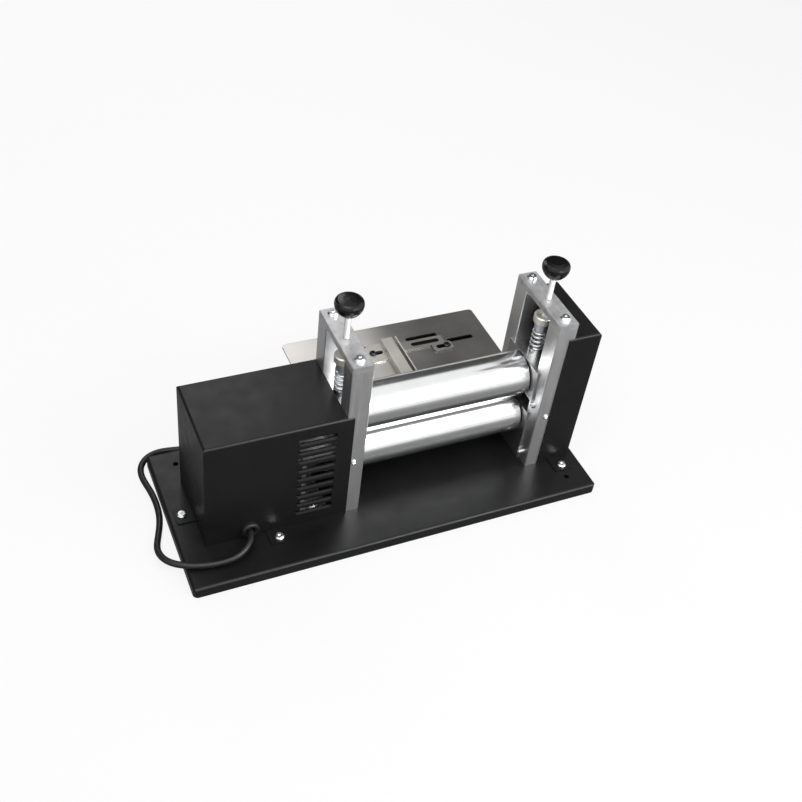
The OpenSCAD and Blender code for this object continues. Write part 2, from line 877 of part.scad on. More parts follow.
module lower_gear_screw() {
    color("silver") end_screw(lower_z);
}

module upper_gear_screw() {
    color("silver") end_screw(upper_z);
}

// Drive, inside the motor box

module shaft_coupling() {
    color([0.55, 0.55, 0.57])
    translate([frame_mid_x, frame_mid_y, lower_z])
        difference() {
            bar_x(coupling_d, -coupling_start - coupling_l, -coupling_start);
            bar_x(journal_d + 2*seat_fit, -journal_out - shaft_gap/2, overrun - coupling_start);
            bar_x(gear_shaft_d + 2*seat_fit, -coupling_start - coupling_l - overrun, -journal_out);
            for (x = [coupling_start + set_screw_in, coupling_start + coupling_l - set_screw_in])
                translate([-x, 0, 0])
                    cylinder(d = screw_d, h = coupling_d, $fn = small_fn);
        }
}

module gearbox_shaft() {
    color("silver")
    translate([frame_mid_x, frame_mid_y, lower_z])
        bar_x(gear_shaft_d, -shaft_end, -shaft_tip);
}

// Folded plate: upright face, foot on the base plate and a lip along its top
module motor_bracket() {
    half = gearbox_side/2;
    lip = bracket_face - bracket_lip;
    color([0.8, 0.8, 0.8])
    translate([frame_mid_x, frame_mid_y, 0]) difference() {
        union() {
            block([-gearbox_start, -half, base_t], [-bracket_face, half, base_t + bracket_h]);
            block([-gearbox_start, -half, base_t], [-lip, half, base_t + bracket_t]);
            block([-gearbox_start, -half, base_t + bracket_h - bracket_t],
                [-lip, half, base_t + bracket_h]);
        }
        translate([0, 0, lower_z])
            bar_x(gearbox_boss_d + 2*screw_fit, -gearbox_start - overrun, overrun - bracket_face);
        translate([-frame_mid_x, -frame_mid_y, 0])
            for (p = bracket_feet)
                translate([p[0], p[1], base_t + bracket_t]) screw_hole(screw_d, bracket_screw_l);
    }
}

// Screws through the foot of the bracket, and screws that hold the gearbox to it
module bracket_screws() {
    r = gearbox_side*gearbox_screw_share;
    color("silver") {
        for (p = bracket_feet)
            translate([p[0], p[1], base_t + bracket_t])
                screw(screw_d, bracket_screw_l, head_d, head_h);
        for (sy = [-1, 1], sz = [-1, 1])
            translate([frame_mid_x - bracket_face, frame_mid_y + sy*r, lower_z + sz*r])
                rotate([0, 90, 0]) cylinder(d = head_d, h = head_h, $fn = small_fn);
    }
}

module gearbox_housing() {
    g = gearbox_side;
    c = gearbox_corner;
    color([0.3, 0.3, 0.32])
    translate([frame_mid_x, frame_mid_y, lower_z]) difference() {
        union() {
            translate([-gearbox_start, 0, 0]) rotate([0, -90, 0])
                linear_extrude(height = gearbox_l) round_rect(g, g, c);
            bar_x(gearbox_boss_d, -shaft_end, -bracket_face);
        }
        bar_x(gear_shaft_d + 2*shaft_fit, -shaft_end - rest_gap, overrun - bracket_face);
    }
}

// Motor with ring grooves and a domed end
module motor_body() {
    r = motor_d/2;
    l = motor_l;
    g = motor_groove;
    band = l*motor_band_share;
    color([0.16, 0.16, 0.17])
    translate([frame_mid_x - motor_start, frame_mid_y, lower_z]) rotate([0, -90, 0])
        rotate_extrude()
        polygon([[0, 0], [r, 0], [r, band], [r - g, band], [r - g, l - band], [r, l - band],
            [r, l - 2*g], [r - 2*g, l], [0, l]]);
}

module run_capacitor() {
    l = 46;
    w = 24;
    h = 32;
    corner_r = 4;
    from_end = 14;
    below_top = 6.2;
    color([0.75, 0.75, 0.72])
    translate([frame_mid_x - box_left + from_end + l/2, frame_mid_y + half_depth - w/2,
        box_top - below_top - h])
        linear_extrude(height = h) round_rect(l, w, corner_r);
}

module terminal_block() {
    l = 24;
    w = 13;
    h = 12;
    from_end = 12;
    from_wall = 3.5;
    color([0.85, 0.85, 0.82])
    translate([frame_mid_x - box_left + from_end, frame_mid_y - half_depth + from_wall, base_t])
        difference() {
            cube([l, w, h]);
            for (k = [1, 3, 5])
                translate([l*k/6, w/2, h/2]) cylinder(d = l/8, h = h, $fn = small_fn);
        }
}

// Sheet metal

// Box of sheet open below and towards the portal, with rounded upper bends
module folded_box(end_x, top, lap) {
    difference() {
        sheet_solid(end_x, top, sheet_half, lap, bend_r, 0);
        sheet_solid(end_x - sheet_t, top - sheet_t, half_depth, lap + overrun, bend_r - sheet_t,
            overrun);
        block([outer_x - lap - overrun, -half_depth, base_t - overrun],
            [outer_x, half_depth, top + overrun]);
    }
}

module sheet_solid(end_x, top, half, lap, r, down) {
    x1 = outer_x - lap;
    l = end_x - x1;
    difference() {
        block([x1, -half, base_t - down], [end_x, half, top]);
        for (turn = [0, 180])
            translate([x1 + l/2, 0, top]) rotate([0, 0, turn]) translate([0, -half, 0])
                edge_cut(l + 2*overrun, r);
        translate([end_x, 0, top]) rotate([0, 0, 90])
            edge_cut(2*half + 2*overrun, r);
    }
}

// A tab on the base plate that points to +Y from the origin, with its screw hole
module tab() {
    r = tab_corner_r;
    difference() {
        linear_extrude(height = sheet_t) {
            translate([-tab_w/2, -sheet_t/2]) square([tab_w, tab_l - r + sheet_t/2]);
            translate([0, tab_l - r]) square([tab_w - 2*r, 2*r], center = true);
            for (s = [-1, 1])
                translate([s*(tab_w/2 - r), tab_l - r]) circle(r = r, $fn = small_fn);
        }
        translate([0, tab_screw_out, -overrun])
            cylinder(d = screw_d + 2*screw_fit, h = sheet_t + 2*overrun, $fn = small_fn);
    }
}

module motor_box() {
    vent_x = outer_x + vent_side + vent_l/2;
    color([0.15, 0.15, 0.16])
    difference() {
        union() {
            on_side(-1) folded_box(box_left, box_top, box_lap);
            translate([frame_mid_x, frame_mid_y, base_t]) {
                for (s = [-1, 1])
                    translate([-box_tab_x, s*sheet_half, 0]) rotate([0, 0, 90 - 90*s]) tab();
                translate([-box_left, 0, 0]) rotate([0, 0, 90]) tab();
            }
        }
        for (i = [0:vent_count - 1])
            translate([frame_mid_x - vent_x, frame_mid_y - half_depth + overrun,
                base_t + vent_low + i*vent_pitch])
                rotate([90, 0, 0])
                linear_extrude(height = sheet_t + 2*overrun) slot(vent_l, vent_h);
        translate([frame_mid_x - grommet_x, frame_mid_y, grommet_z])
            bar_y(grommet_d - 2*grommet_ring, -sheet_half - overrun, overrun - half_depth);
        translate([frame_mid_x - switch_x, frame_mid_y + half_depth, switch_z])
            block([-switch_w/2, -overrun, -switch_h/2], [switch_w/2, sheet_t + overrun, switch_h/2]);
    }
}

module gear_cover() {
    color([0.15, 0.15, 0.16]) {
        on_side(1) folded_box(cover_right, cover_top, cover_lap);
        translate([frame_mid_x, frame_mid_y, base_t])
            for (s = [-1, 1])
                translate([cover_tab_x, s*sheet_half, 0]) rotate([0, 0, 90 - 90*s]) tab();
    }
}

module flange_screws() {
    color("white")
    for (p = tab_screws)
        translate([p[0], p[1], base_t + sheet_t]) screw(screw_d, tab_screw_l, head_d, head_h);
}

// Switch

module switch_body() {
    w = switch_w - 2*screw_fit;
    h = switch_h - 2*screw_fit;
    rim = switch_rim;
    open_w = w - 2*rim;
    open_h = h - 2*rim;
    color([0.1, 0.1, 0.1])
    translate([frame_mid_x - switch_x, frame_mid_y + sheet_half, switch_z]) difference() {
        union() {
            block([-w/2, -switch_depth, -h/2], [w/2, switch_proud, h/2]);
            block([-w/2 - rim, 0, -h/2 - rim], [w/2 + rim, switch_proud, h/2 + rim]);
        }
        block([-open_w/2, -rocker_pocket, -open_h/2],
            [open_w/2, switch_proud + overrun, open_h/2]);
        translate([0, -rocker_pivot, -h/2 + rim/3])
            cylinder(d = rocker_pin_d + 2*shaft_fit, h = h - 2*rim/3, $fn = small_fn);
    }
}

module switch_rocker() {
    half = switch_w/2 - switch_rim - rocker_play;
    h = switch_h - 2*switch_rim - 2*rocker_side_play;
    rise = switch_proud + rocker_proud;
    foot = half*rocker_foot_share;
    color([0.5, 0.05, 0.05])
    translate([frame_mid_x - switch_x, frame_mid_y + sheet_half - rocker_pivot, switch_z])
        rotate([0, 0, -rocker_rest]) {
        translate([0, 0, -rocker_pin_l/2]) cylinder(d = rocker_pin_d, h = rocker_pin_l, $fn = small_fn);
        translate([0, 0, -h/2]) linear_extrude(height = h)
            polygon([[-half, rise], [0, rise*rocker_dip_share], [half, rise], [foot, -rise],
                [-foot, -rise]]);
        }
}

// Springs, caps, adjusting screws and knobs

module seat_shape() {
    translate([mid_post_x, 0, upper_block_top]) {
        cylinder(d = spring_d, h = seat_h, $fn = small_fn);
        translate([0, 0, seat_h]) cylinder(d = spigot_d, h = spigot_l, $fn = small_fn);
    }
}

// Path of a spring: straight out of the seat, the turns, and straight into the cap
spring_rings = 8;
function spring_point(t) =
    let (rise = spring_len - 2*wire_d)
    [coil_r*cos(360*t), coil_r*sin(360*t), wire_d + rise*t/spring_turns];
function spring_path() = concat(
    [[coil_r, 0, 0]],
    [for (k = [0:spring_rings*spring_turns]) spring_point(k/spring_rings)],
    [spring_point(spring_turns) + [0, 0, wire_d]]);
spring_line = spring_path();
spring_outs = [for (p = spring_line) [p[0], p[1], 0]];
echo(spring_least_gap = self_gap(spring_line, wire_d, 5));

module spring_shape() {
    translate([mid_post_x, 0, seat_top]) tube(spring_line, spring_outs, wire_r, 6);
}

// Cap: a head with a recess for the screw, a neck and a spigot in the spring
module cap_shape() {
    r = cap_d/2;
    c = cap_chamfer;
    neck = cap_neck_d/2;
    low = -cap_neck_l;
    hole = rod_d/2 + screw_fit;
    translate([mid_post_x, 0, cap_shoulder])
        rotate_extrude($fn = small_fn)
        polygon([[0, low - spigot_l], [spigot_d/2, low - spigot_l], [spigot_d/2, low], [neck, low],
            [neck, 0], [r, 0], [r, cap_h - c], [r - c, cap_h], [hole + cap_rim, cap_h],
            [hole + cap_rim, cap_h - c], [hole, cap_h - c], [hole, cap_h - cap_hole_depth],
            [0, cap_h - cap_hole_depth]]);
}

// Adjusting screw: rests in the cap, passes the bar and ends inside the knob
module rod_shape() {
    low = cap_top - cap_hole_depth + cap_play;
    r = rod_d/2;
    c = rod_chamfer;
    translate([mid_post_x, 0, low])
        rotate_extrude($fn = small_fn)
        polygon([[0, 0], [r - c, 0], [r, c], [r, knob_bottom - low], [0, knob_bottom - low]]);
}

// Knob: a short neck under a bowl with a flat crown. Shares of the radius and the height
neck_shares = [[0, 0], [0.9, 0], [1, 0.06]];
head_shares = [[0.5, 0.08], [0.7, 0.2], [0.86, 0.36], [0.96, 0.52], [1, 0.68], [0.985, 0.8],
    [0.92, 0.9], [0.78, 0.96], [0.45, 0.99], [0, 1]];
module knob_shape() {
    translate([mid_post_x, 0, knob_bottom])
        rotate_extrude($fn = small_fn)
        polygon(concat([for (p = neck_shares) [p[0]*knob_neck_d/2, p[1]*knob_h]],
            [for (p = head_shares) [p[0]*knob_d/2, p[1]*knob_h]]));
}

module left_spring_seat() {
    color("silver") on_side(-1) seat_shape();
}

module right_spring_seat() {
    color("silver") on_side(1) seat_shape();
}

module left_spring() {
    color([0.7, 0.7, 0.72]) on_side(-1) spring_shape();
}

module right_spring() {
    color([0.7, 0.7, 0.72]) on_side(1) spring_shape();
}

module left_spring_cap() {
    color([0.86, 0.85, 0.8]) on_side(-1) cap_shape();
}

module right_spring_cap() {
    color([0.86, 0.85, 0.8]) on_side(1) cap_shape();
}

module left_adjusting_screw() {
    color("silver") on_side(-1) rod_shape();
}

module right_adjusting_screw() {
    color("silver") on_side(1) rod_shape();
}

module left_knob() {
    color([0.05, 0.05, 0.05]) on_side(-1) knob_shape();
}

module right_knob() {
    color([0.05, 0.05, 0.05]) on_side(1) knob_shape();
}

// Feed table, guides and blade

// Slots for the guides, as shares of the table: x and y of the middle, then the length
table_slot_shares = [[0.666, 0.685, 0.165], [0.846, 0.54, 0.14], [0.395, 0.67, 0.06]];

module feed_table() {
    r = table_corner_r;
    x1 = frame_mid_x - table_left;
    y1 = frame_mid_y + table_front;
    color([0.62, 0.62, 0.61])
    difference() {
        translate([x1 + table_l/2, y1 + table_w/2, table_under])
            linear_extrude(height = table_t) round_rect(table_l, table_w, r);
        for (s = table_slot_shares)
            translate([x1 + s[0]*table_l, y1 + s[1]*table_w, table_under - overrun])
                linear_extrude(height = table_t + 2*overrun) slot(s[2]*table_l, slot_w);
        for (g = guide_slots)
            translate([frame_mid_x + g[0], frame_mid_y + g[1], table_under - overrun])
                linear_extrude(height = table_t + 2*overrun) slot(g[2], slot_w);
    }
}

// Angle brackets under the table, one on the rear face of each portal, each with a shelf that
// closes the view through the slots and keeps chips off the base plate
module table_brackets() {
    color([0.3, 0.3, 0.31])
    for (s = [-1, 1])
        on_side(s) difference() {
            union() {
                block([inner_x, half_depth, table_under - leg_h],
                    [inner_x + leg_w, half_depth + leg_t, table_under]);
                block([inner_x, half_depth + leg_t/2, table_under - leg_t],
                    [inner_x + leg_w, half_depth + arm_l, table_under]);
                block([shelf_middle_gap, half_depth + leg_t/2, table_under - shelf_drop - shelf_t],
                    [inner_x + leg_w, half_depth + shelf_l, table_under - shelf_drop]);
            }
            for (z = table_screw_z)
                translate([leg_x, half_depth + leg_t, z]) rotate([-90, 0, 0])
                    screw_hole(screw_d, leg_t + overrun);
        }
}

module table_screws() {
    color("silver")
    for (s = [-1, 1], z = table_screw_z)
        on_side(s) translate([leg_x, half_depth + leg_t, z]) rotate([-90, 0, 0])
            screw(screw_d, table_screw_l, head_d, head_h);
}

// Places of the clamp screws of the left and the right guide
clamp_places = [[frame_mid_x + left_clamp_x, frame_mid_y + left_slot_y],
    [frame_mid_x + right_clamp_x, frame_mid_y + right_slot_y]];

// Left guide: rounded foot with a slot, a riser and a plate that holds the strip down
module left_guide() {
    x = frame_mid_x + channel_left;
    y1 = frame_mid_y + guide_front;
    foot_x = frame_mid_x + left_slot_x - left_foot_shift;
    foot_y = frame_mid_y + left_slot_y;
    r = left_foot_r;
    color([0.8, 0.8, 0.79]) {
        difference() {
            translate([0, 0, foot_low]) linear_extrude(height = guide_t) {
                translate([foot_x, foot_y]) circle(r = r);
                translate([foot_x, foot_y - r]) square([x - foot_x, 2*r]);
            }
            translate([foot_x + left_foot_shift, foot_y, foot_low - overrun])
                linear_extrude(height = guide_t + 2*overrun) slot(left_slot_l, slot_w);
        }
        block([x - guide_t, y1, foot_low], [x, y1 + guide_l, guide_top]);
        block([x - guide_t, y1, guide_top - guide_t], [x - guide_t + plate_w, y1 + guide_l, guide_top]);
    }
}

// Right guide: upright wall on a foot, with a clamping ear
module right_guide() {
    x = frame_mid_x + channel_right;
    y1 = frame_mid_y + guide_front;
    foot_y1 = frame_mid_y + table_front + right_foot_in;
    ear_x = frame_mid_x + right_slot_x - ear_shift;
    ear_y = frame_mid_y + right_slot_y;
    color([0.78, 0.78, 0.77]) {
        block([x, y1, foot_low], [x + guide_t, y1 + guide_l, guide_top]);
        difference() {
            translate([0, 0, foot_low]) linear_extrude(height = guide_t) {
                translate([x + guide_t/2, foot_y1]) square([right_foot_l - guide_t/2, right_foot_w]);
                translate([ear_x, ear_y]) round_rect(right_slot_l + 2*ear_margin, ear_w, ear_corner_r);
            }
            translate([frame_mid_x + right_slot_x, ear_y, foot_low - overrun])
                linear_extrude(height = guide_t + 2*overrun) slot(right_slot_l, slot_w);
            translate([frame_mid_x + foot_slot_x, frame_mid_y + foot_slot_y, foot_low - overrun])
                linear_extrude(height = guide_t + 2*overrun) slot(foot_slot_l, slot_w);
        }
    }
}

// Low black screws that clamp the guides, each with a nut under the table
module guide_screws() {
    seat = foot_low + guide_t + clamp_gap;
    color([0.08, 0.08, 0.08])
    for (p = clamp_places)
        translate([p[0], p[1], 0]) {
            translate([0, 0, seat])
                screw(clamp_d, seat - table_under + nut_h + thread_clear, clamp_head_d, clamp_head_h);
            translate([0, 0, table_under - nut_h]) difference() {
                cylinder(d = nut_d, h = nut_h, $fn = 6);
                translate([0, 0, -overrun])
                    cylinder(d = clamp_d + 2*seat_fit, h = nut_h + 2*overrun, $fn = small_fn);
            }
        }
}

blade_screw_in = 9;
blade_screw_x = inner_x - blade_screw_in;
blade_screw_d = 7.5;
blade_screw_l = 9;
blade_screw_sink = 0.2;
holder_grip = 14;

// Bar between the rear posts that carries the blade
module blade_holder() {
    y1 = frame_mid_y + holder_front;
    color([0.28, 0.28, 0.29])
    difference() {
        block([frame_mid_x - inner_x, y1, holder_top - holder_h],
            [frame_mid_x + inner_x, y1 + holder_w, holder_top]);
        for (s = [-1, 1]) {
            translate([frame_mid_x + s*blade_screw_x, y1 + holder_w/2, holder_top])
                screw_hole(small_screw_d, blade_screw_l);
            on_side(s) translate([0, holder_screw_y, holder_screw_z])
                bar_x(screw_d + 2*screw_fit, inner_x - holder_grip, inner_x + overrun);
        }
    }
}

// Flat blade with one ground bevel; its edge meets the strip that comes from the rear
module skiving_blade() {
    edge_y = frame_mid_y + blade_rear;
    color([0.85, 0.86, 0.87])
    difference() {
        translate([frame_mid_x - inner_x + rest_gap, 0, 0]) rotate([90, 0, 90])
            linear_extrude(height = portal_span - 2*rest_gap)
            polygon([[edge_y - blade_w, holder_top], [edge_y - blade_bevel, holder_top],
                [edge_y, blade_top], [edge_y - blade_w, blade_top]]);
        for (s = [-1, 1])
            translate([frame_mid_x + s*blade_screw_x, frame_mid_y + holder_screw_y, blade_top])
                rotate_extrude($fn = small_fn)
                polygon([[0, overrun], [blade_screw_d/2 + seat_fit, overrun],
                    [blade_screw_d/2 + seat_fit, 0], [small_screw_d/2 + screw_fit, -blade_t + seat_fit],
                    [small_screw_d/2 + screw_fit, -blade_t - overrun], [0, -blade_t - overrun]]);
    }
}

// Countersunk screws of the blade, and the screws that hold its bar to the rear posts
module blade_screws() {
    sink = blade_screw_sink;
    low = thread_clear - blade_t - blade_screw_l;
    color("silver")
    for (s = [-1, 1]) {
        translate([frame_mid_x + s*blade_screw_x, frame_mid_y + holder_screw_y, blade_top])
            rotate_extrude($fn = small_fn)
            polygon([[0, -sink], [blade_screw_d/2 - sink, -sink], [small_screw_d/2, screw_fit - blade_t],
                [small_screw_d/2, low], [0, low]]);
        on_side(s) translate([outer_x, holder_screw_y, holder_screw_z]) rotate([0, 90, 0])
            screw(screw_d, portal_t + holder_grip - thread_clear, head_d, head_h);
    }
}

// Mains lead

// Ring grommet with a web that the lead leaves at right angles
module cord_grommet() {
    r = grommet_ring;
    out = grommet_d/2;
    lip = grommet_lip;
    color([0.06, 0.06, 0.06])
    translate([frame_mid_x - grommet_x, frame_mid_y - sheet_half, grommet_z])
        rotate([90, 0, 0]) rotate_extrude($fn = small_fn) {
            polygon([[0, -sheet_t - r], [out - lip, -sheet_t - r], [out - lip, -sheet_t],
                [out - r - screw_fit, -sheet_t], [out - r - screw_fit, 0], [out - r, 0],
                [out - r, floor_gap], [0, floor_gap]]);
            translate([out - r, r/2]) square([2*r, r], center = true);
            translate([out - r, r]) circle(r = r, $fn = small_fn);
        }
}

echo(cord_run_length = path_length(cord_route));

module cord_run() {
    outs = [for (p = cord_route) [0, 0, 1]];
    color([0.06, 0.06, 0.06]) tube(cord_route, outs, cord_r, cord_sides);
}

// Coil: the lower layer winds in, climbs in the half turn where it turns back, and the upper
// layer winds out; a straight tail then leads to the plug
layer_step = cord_d + coil_gap;
coil_total = 2*coil_turns + 0.5;
coil_out_r = coil_mid_d/2 + coil_turns*layer_step/2;
coil_y = cord_route[len(cord_route) - 1][1] + coil_out_r;
turn_back = coil_turns + 0.25;
function coil_radius(t) = coil_out_r - layer_step*(turn_back - abs(t - turn_back));
function coil_height(t) = cord_floor + layer_step*min(1, max(0, (t - coil_turns)/0.5));
function coil_point(t) = [coil_x + coil_radius(t)*sin(360*t), coil_y - coil_radius(t)*cos(360*t),
    coil_height(t)];
tail_start = coil_point(coil_total);
coil_line = concat([[coil_x - coil_lead, coil_y - coil_out_r, cord_floor]],
    [for (k = [0:loop_rings*coil_total]) coil_point(k/loop_rings)],
    [for (k = [1:tail_rings]) tail_start + [tail_l*k/tail_rings, 0, 0]]);
echo(coil_least_gap = self_gap(coil_line, cord_d, 9));
echo(coil_length = path_length(coil_line));

module cord_coil() {
    outs = [for (p = coil_line) [0, 0, 1]];
    color([0.06, 0.06, 0.06]) tube(coil_line, outs, cord_r, loop_sides);
}

plug_at = coil_line[len(coil_line) - 1];

// Moulded plug: a tapered sleeve that grows into the body
module plug_body() {
    t = 2*plug_at[2] - 2*floor_gap;
    sleeve = plug_l*plug_sleeve_share;
    color([0.07, 0.07, 0.07])
    translate(plug_at) {
        rotate([0, 90, 0]) cylinder(r1 = cord_r + plug_sleeve_low, r2 = cord_r + plug_sleeve_high,
            h = sleeve, $fn = small_fn);
        translate([sleeve, 0, 0]) rotate([90, 0, 90])
            linear_extrude(height = plug_l - sleeve) round_rect(plug_w, t, plug_corner_r);
    }
}

module plug_pins() {
    front = plug_at + [plug_l, 0, 0];
    color([0.8, 0.75, 0.5]) {
        for (s = [-1, 1])
            translate(front + [plug_pin_l/2, s*blade_pin_y, blade_pin_z])
                cube([plug_pin_l, blade_pin_w, blade_pin_h], center = true);
        translate(front - [0, 0, earth_pin_z]) rotate([0, 90, 0])
            cylinder(d = earth_pin_d, h = plug_pin_l + earth_pin_more, $fn = small_fn);
    }
}

base_plate();
foot_screws();
left_front_post();
left_rear_post();
left_top_bar();
right_front_post();
right_rear_post();
right_top_bar();
top_bar_screws();
side_screws();
block_screws();
lower_left_block();
lower_right_block();
lower_bushes();
upper_left_block();
upper_right_block();
upper_bushes();
lower_roller();
upper_roller();
lower_gear();
upper_gear();
lower_gear_screw();
upper_gear_screw();
shaft_coupling();
gearbox_shaft();
motor_bracket();
bracket_screws();
gearbox_housing();
motor_body();
run_capacitor();
terminal_block();
motor_box();
gear_cover();
flange_screws();
switch_body();
switch_rocker();
cord_grommet();
cord_run();
cord_coil();
plug_body();
plug_pins();
left_spring_seat();
right_spring_seat();
left_spring();
right_spring();
left_spring_cap();
right_spring_cap();
left_adjusting_screw();
right_adjusting_screw();
left_knob();
right_knob();
feed_table();
table_brackets();
table_screws();
left_guide();
right_guide();
guide_screws();
blade_holder();
skiving_blade();
blade_screws();
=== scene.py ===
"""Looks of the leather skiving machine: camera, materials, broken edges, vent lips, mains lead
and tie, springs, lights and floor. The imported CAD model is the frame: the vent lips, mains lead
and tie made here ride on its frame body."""
from math import cos, radians, sin, pi

import bpy
from mathutils import Matrix, Vector


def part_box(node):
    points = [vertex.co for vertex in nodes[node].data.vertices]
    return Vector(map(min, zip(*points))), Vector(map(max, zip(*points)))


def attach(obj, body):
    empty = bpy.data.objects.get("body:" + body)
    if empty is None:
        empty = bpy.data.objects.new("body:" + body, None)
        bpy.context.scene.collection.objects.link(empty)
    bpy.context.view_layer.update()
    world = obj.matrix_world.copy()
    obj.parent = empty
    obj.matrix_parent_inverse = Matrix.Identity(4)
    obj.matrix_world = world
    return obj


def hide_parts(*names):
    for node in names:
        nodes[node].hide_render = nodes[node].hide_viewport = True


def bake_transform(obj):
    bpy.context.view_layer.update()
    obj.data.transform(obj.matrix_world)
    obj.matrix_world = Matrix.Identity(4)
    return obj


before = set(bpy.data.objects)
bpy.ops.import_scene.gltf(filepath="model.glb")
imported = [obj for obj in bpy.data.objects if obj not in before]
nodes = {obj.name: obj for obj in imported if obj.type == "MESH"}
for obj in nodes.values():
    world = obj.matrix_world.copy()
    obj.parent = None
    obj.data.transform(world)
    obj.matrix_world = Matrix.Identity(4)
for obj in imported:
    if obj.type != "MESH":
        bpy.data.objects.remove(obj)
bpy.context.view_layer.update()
MM = 0.001
UP = Vector((0, 0, 1))
WHITE = (1, 1, 1, 1)


def mm(*values):
    """Millimetres of part.scad as a point in metres."""
    return Vector(values) * MM


# Camera, fitted to the corners of the base plate, box, portals and cover in the photograph

CAMERA_PLACE = mm(-352.2, -669.8, 804.8)
CAMERA_AZIMUTH = radians(-28.95)
CAMERA_ELEVATION = radians(42.57)
CAMERA_ROLL = radians(8.22)
CAMERA_LENS = 48.85
SENSOR = 36
CLIP_START = 0.01


def add_camera():
    """The camera: its axes from azimuth and elevation, then turned by the roll."""
    back = Vector((sin(CAMERA_AZIMUTH) * cos(CAMERA_ELEVATION),
                   -cos(CAMERA_AZIMUTH) * cos(CAMERA_ELEVATION), sin(CAMERA_ELEVATION)))
    level = Vector((cos(CAMERA_AZIMUTH), sin(CAMERA_AZIMUTH), 0))
    upright = back.cross(level)
    right = level * cos(CAMERA_ROLL) + upright * sin(CAMERA_ROLL)
    up = upright * cos(CAMERA_ROLL) - level * sin(CAMERA_ROLL)
    data = bpy.data.cameras.new("camera")
    data.lens = CAMERA_LENS
    data.sensor_width = SENSOR
    data.clip_start = CLIP_START
    camera = bpy.data.objects.new("camera", data)
    bpy.context.collection.objects.link(camera)
    turn = Matrix((right, up, back)).transposed().to_4x4()
    camera.matrix_world = Matrix.Translation(CAMERA_PLACE) @ turn
    bpy.context.scene.camera = camera


add_camera()


# Materials

# Most of a noise value lies between these
NOISE_LOW = 0.3
NOISE_HIGH = 0.7
PATCH_DETAIL = 4
FINE_DETAIL = 2
# Strength of most reliefs
RELIEF = 0.5
# Radians that Blender's wave texture turns through in a length of 1 at a scale of 1
WAVE_FACTOR = 20


def shader(name):
    """A new node material, its nodes, links and Principled shader."""
    material = bpy.data.materials.new(name)
    material.use_nodes = True
    tree = material.node_tree
    return material, tree.nodes, tree.links, tree.nodes["Principled BSDF"]


def math_node(tree_nodes, links, operation, first, second):
    """One Math node; each input is a socket or a number."""
    node = tree_nodes.new("ShaderNodeMath")
    node.operation = operation
    for place, value in enumerate((first, second)):
        if isinstance(value, (int, float)):
            node.inputs[place].default_value = value
        else:
            links.new(value, node.inputs[place])
    return node.outputs[0]


def map_range(tree_nodes, links, value, old, new, interpolation="LINEAR"):
    """A value taken from an old range onto a new one."""
    mapping = tree_nodes.new("ShaderNodeMapRange")
    mapping.interpolation_type = interpolation
    for key, number in zip(("From Min", "From Max", "To Min", "To Max"), (*old, *new)):
        mapping.inputs[key].default_value = number
    links.new(value, mapping.inputs["Value"])
    return mapping.outputs["Result"]


def place_along(tree_nodes, links, axis):
    """The place along one axis of the frame, in metres."""
    place = tree_nodes.new("ShaderNodeTexCoord")
    split = tree_nodes.new("ShaderNodeSeparateXYZ")
    links.new(place.outputs["Object"], split.inputs[0])
    return split.outputs[axis]


def noise(tree_nodes, links, scale, detail, stretch=(1, 1, 1)):
    """Noise in the frame's own metres, stretched along an axis by a small number."""
    place = tree_nodes.new("ShaderNodeTexCoord")
    mapping = tree_nodes.new("ShaderNodeMapping")
    mapping.inputs["Scale"].default_value = stretch
    texture = tree_nodes.new("ShaderNodeTexNoise")
    texture.inputs["Scale"].default_value = scale
    texture.inputs["Detail"].default_value = detail
    links.new(place.outputs["Object"], mapping.inputs["Vector"])
    links.new(mapping.outputs["Vector"], texture.inputs["Vector"])
    return texture.outputs["Fac"]


def tint(tree_nodes, links, value, dark, light):
    """A colour between two, by a noise value."""
    ramp = tree_nodes.new("ShaderNodeValToRGB")
    ends = ((NOISE_LOW, dark), (NOISE_HIGH, light))
    for element, (position, tone) in zip(ramp.color_ramp.elements, ends):
        element.position = position
        element.color = (*tone, 1)
    links.new(value, ramp.inputs["Fac"])
    return ramp.outputs["Color"]


def mixed_tones(tree_nodes, links, share, patches, first, second):
    """A pair of tones where the share is 0, and another pair where it is 1."""
    mix = tree_nodes.new("ShaderNodeMix")
    mix.data_type = "RGBA"
    links.new(share, mix.inputs["Factor"])
    links.new(tint(tree_nodes, links, patches, *first), mix.inputs["A"])
    links.new(tint(tree_nodes, links, patches, *second), mix.inputs["B"])
    return mix.outputs["Result"]


def uneven_rough(tree_nodes, links, bsdf, value, rough, below, above):
    """Roughness that a noise value moves below and above its middle."""
    levels = map_range(tree_nodes, links, value, (NOISE_LOW, NOISE_HIGH),
                       (rough - below, rough + above))
    links.new(levels, bsdf.inputs["Roughness"])


def bump(tree_nodes, links, bsdf, value, depth, strength=RELIEF):
    """Relief of a depth in metres on the shader's normal."""
    node = tree_nodes.new("ShaderNodeBump")
    node.inputs["Distance"].default_value = depth
    node.inputs["Strength"].default_value = strength
    links.new(value, node.inputs["Height"])
    links.new(node.outputs["Normal"], bsdf.inputs["Normal"])


def powder_coat(name, dark, light, rough, shine=0.3):
    """Black powder coat: fine orange peel, a little dust and uneven sheen."""
    material, n, links, bsdf = shader(name)
    patches = noise(n, links, scale=14, detail=PATCH_DETAIL)
    links.new(tint(n, links, patches, dark, light), bsdf.inputs["Base Color"])
    uneven_rough(n, links, bsdf, noise(n, links, scale=60, detail=5), rough, below=0.05,
                 above=0.07)
    bsdf.inputs["Specular IOR Level"].default_value = shine
    bump(n, links, bsdf, noise(n, links, scale=1600, detail=FINE_DETAIL), depth=0.00006)
    return material


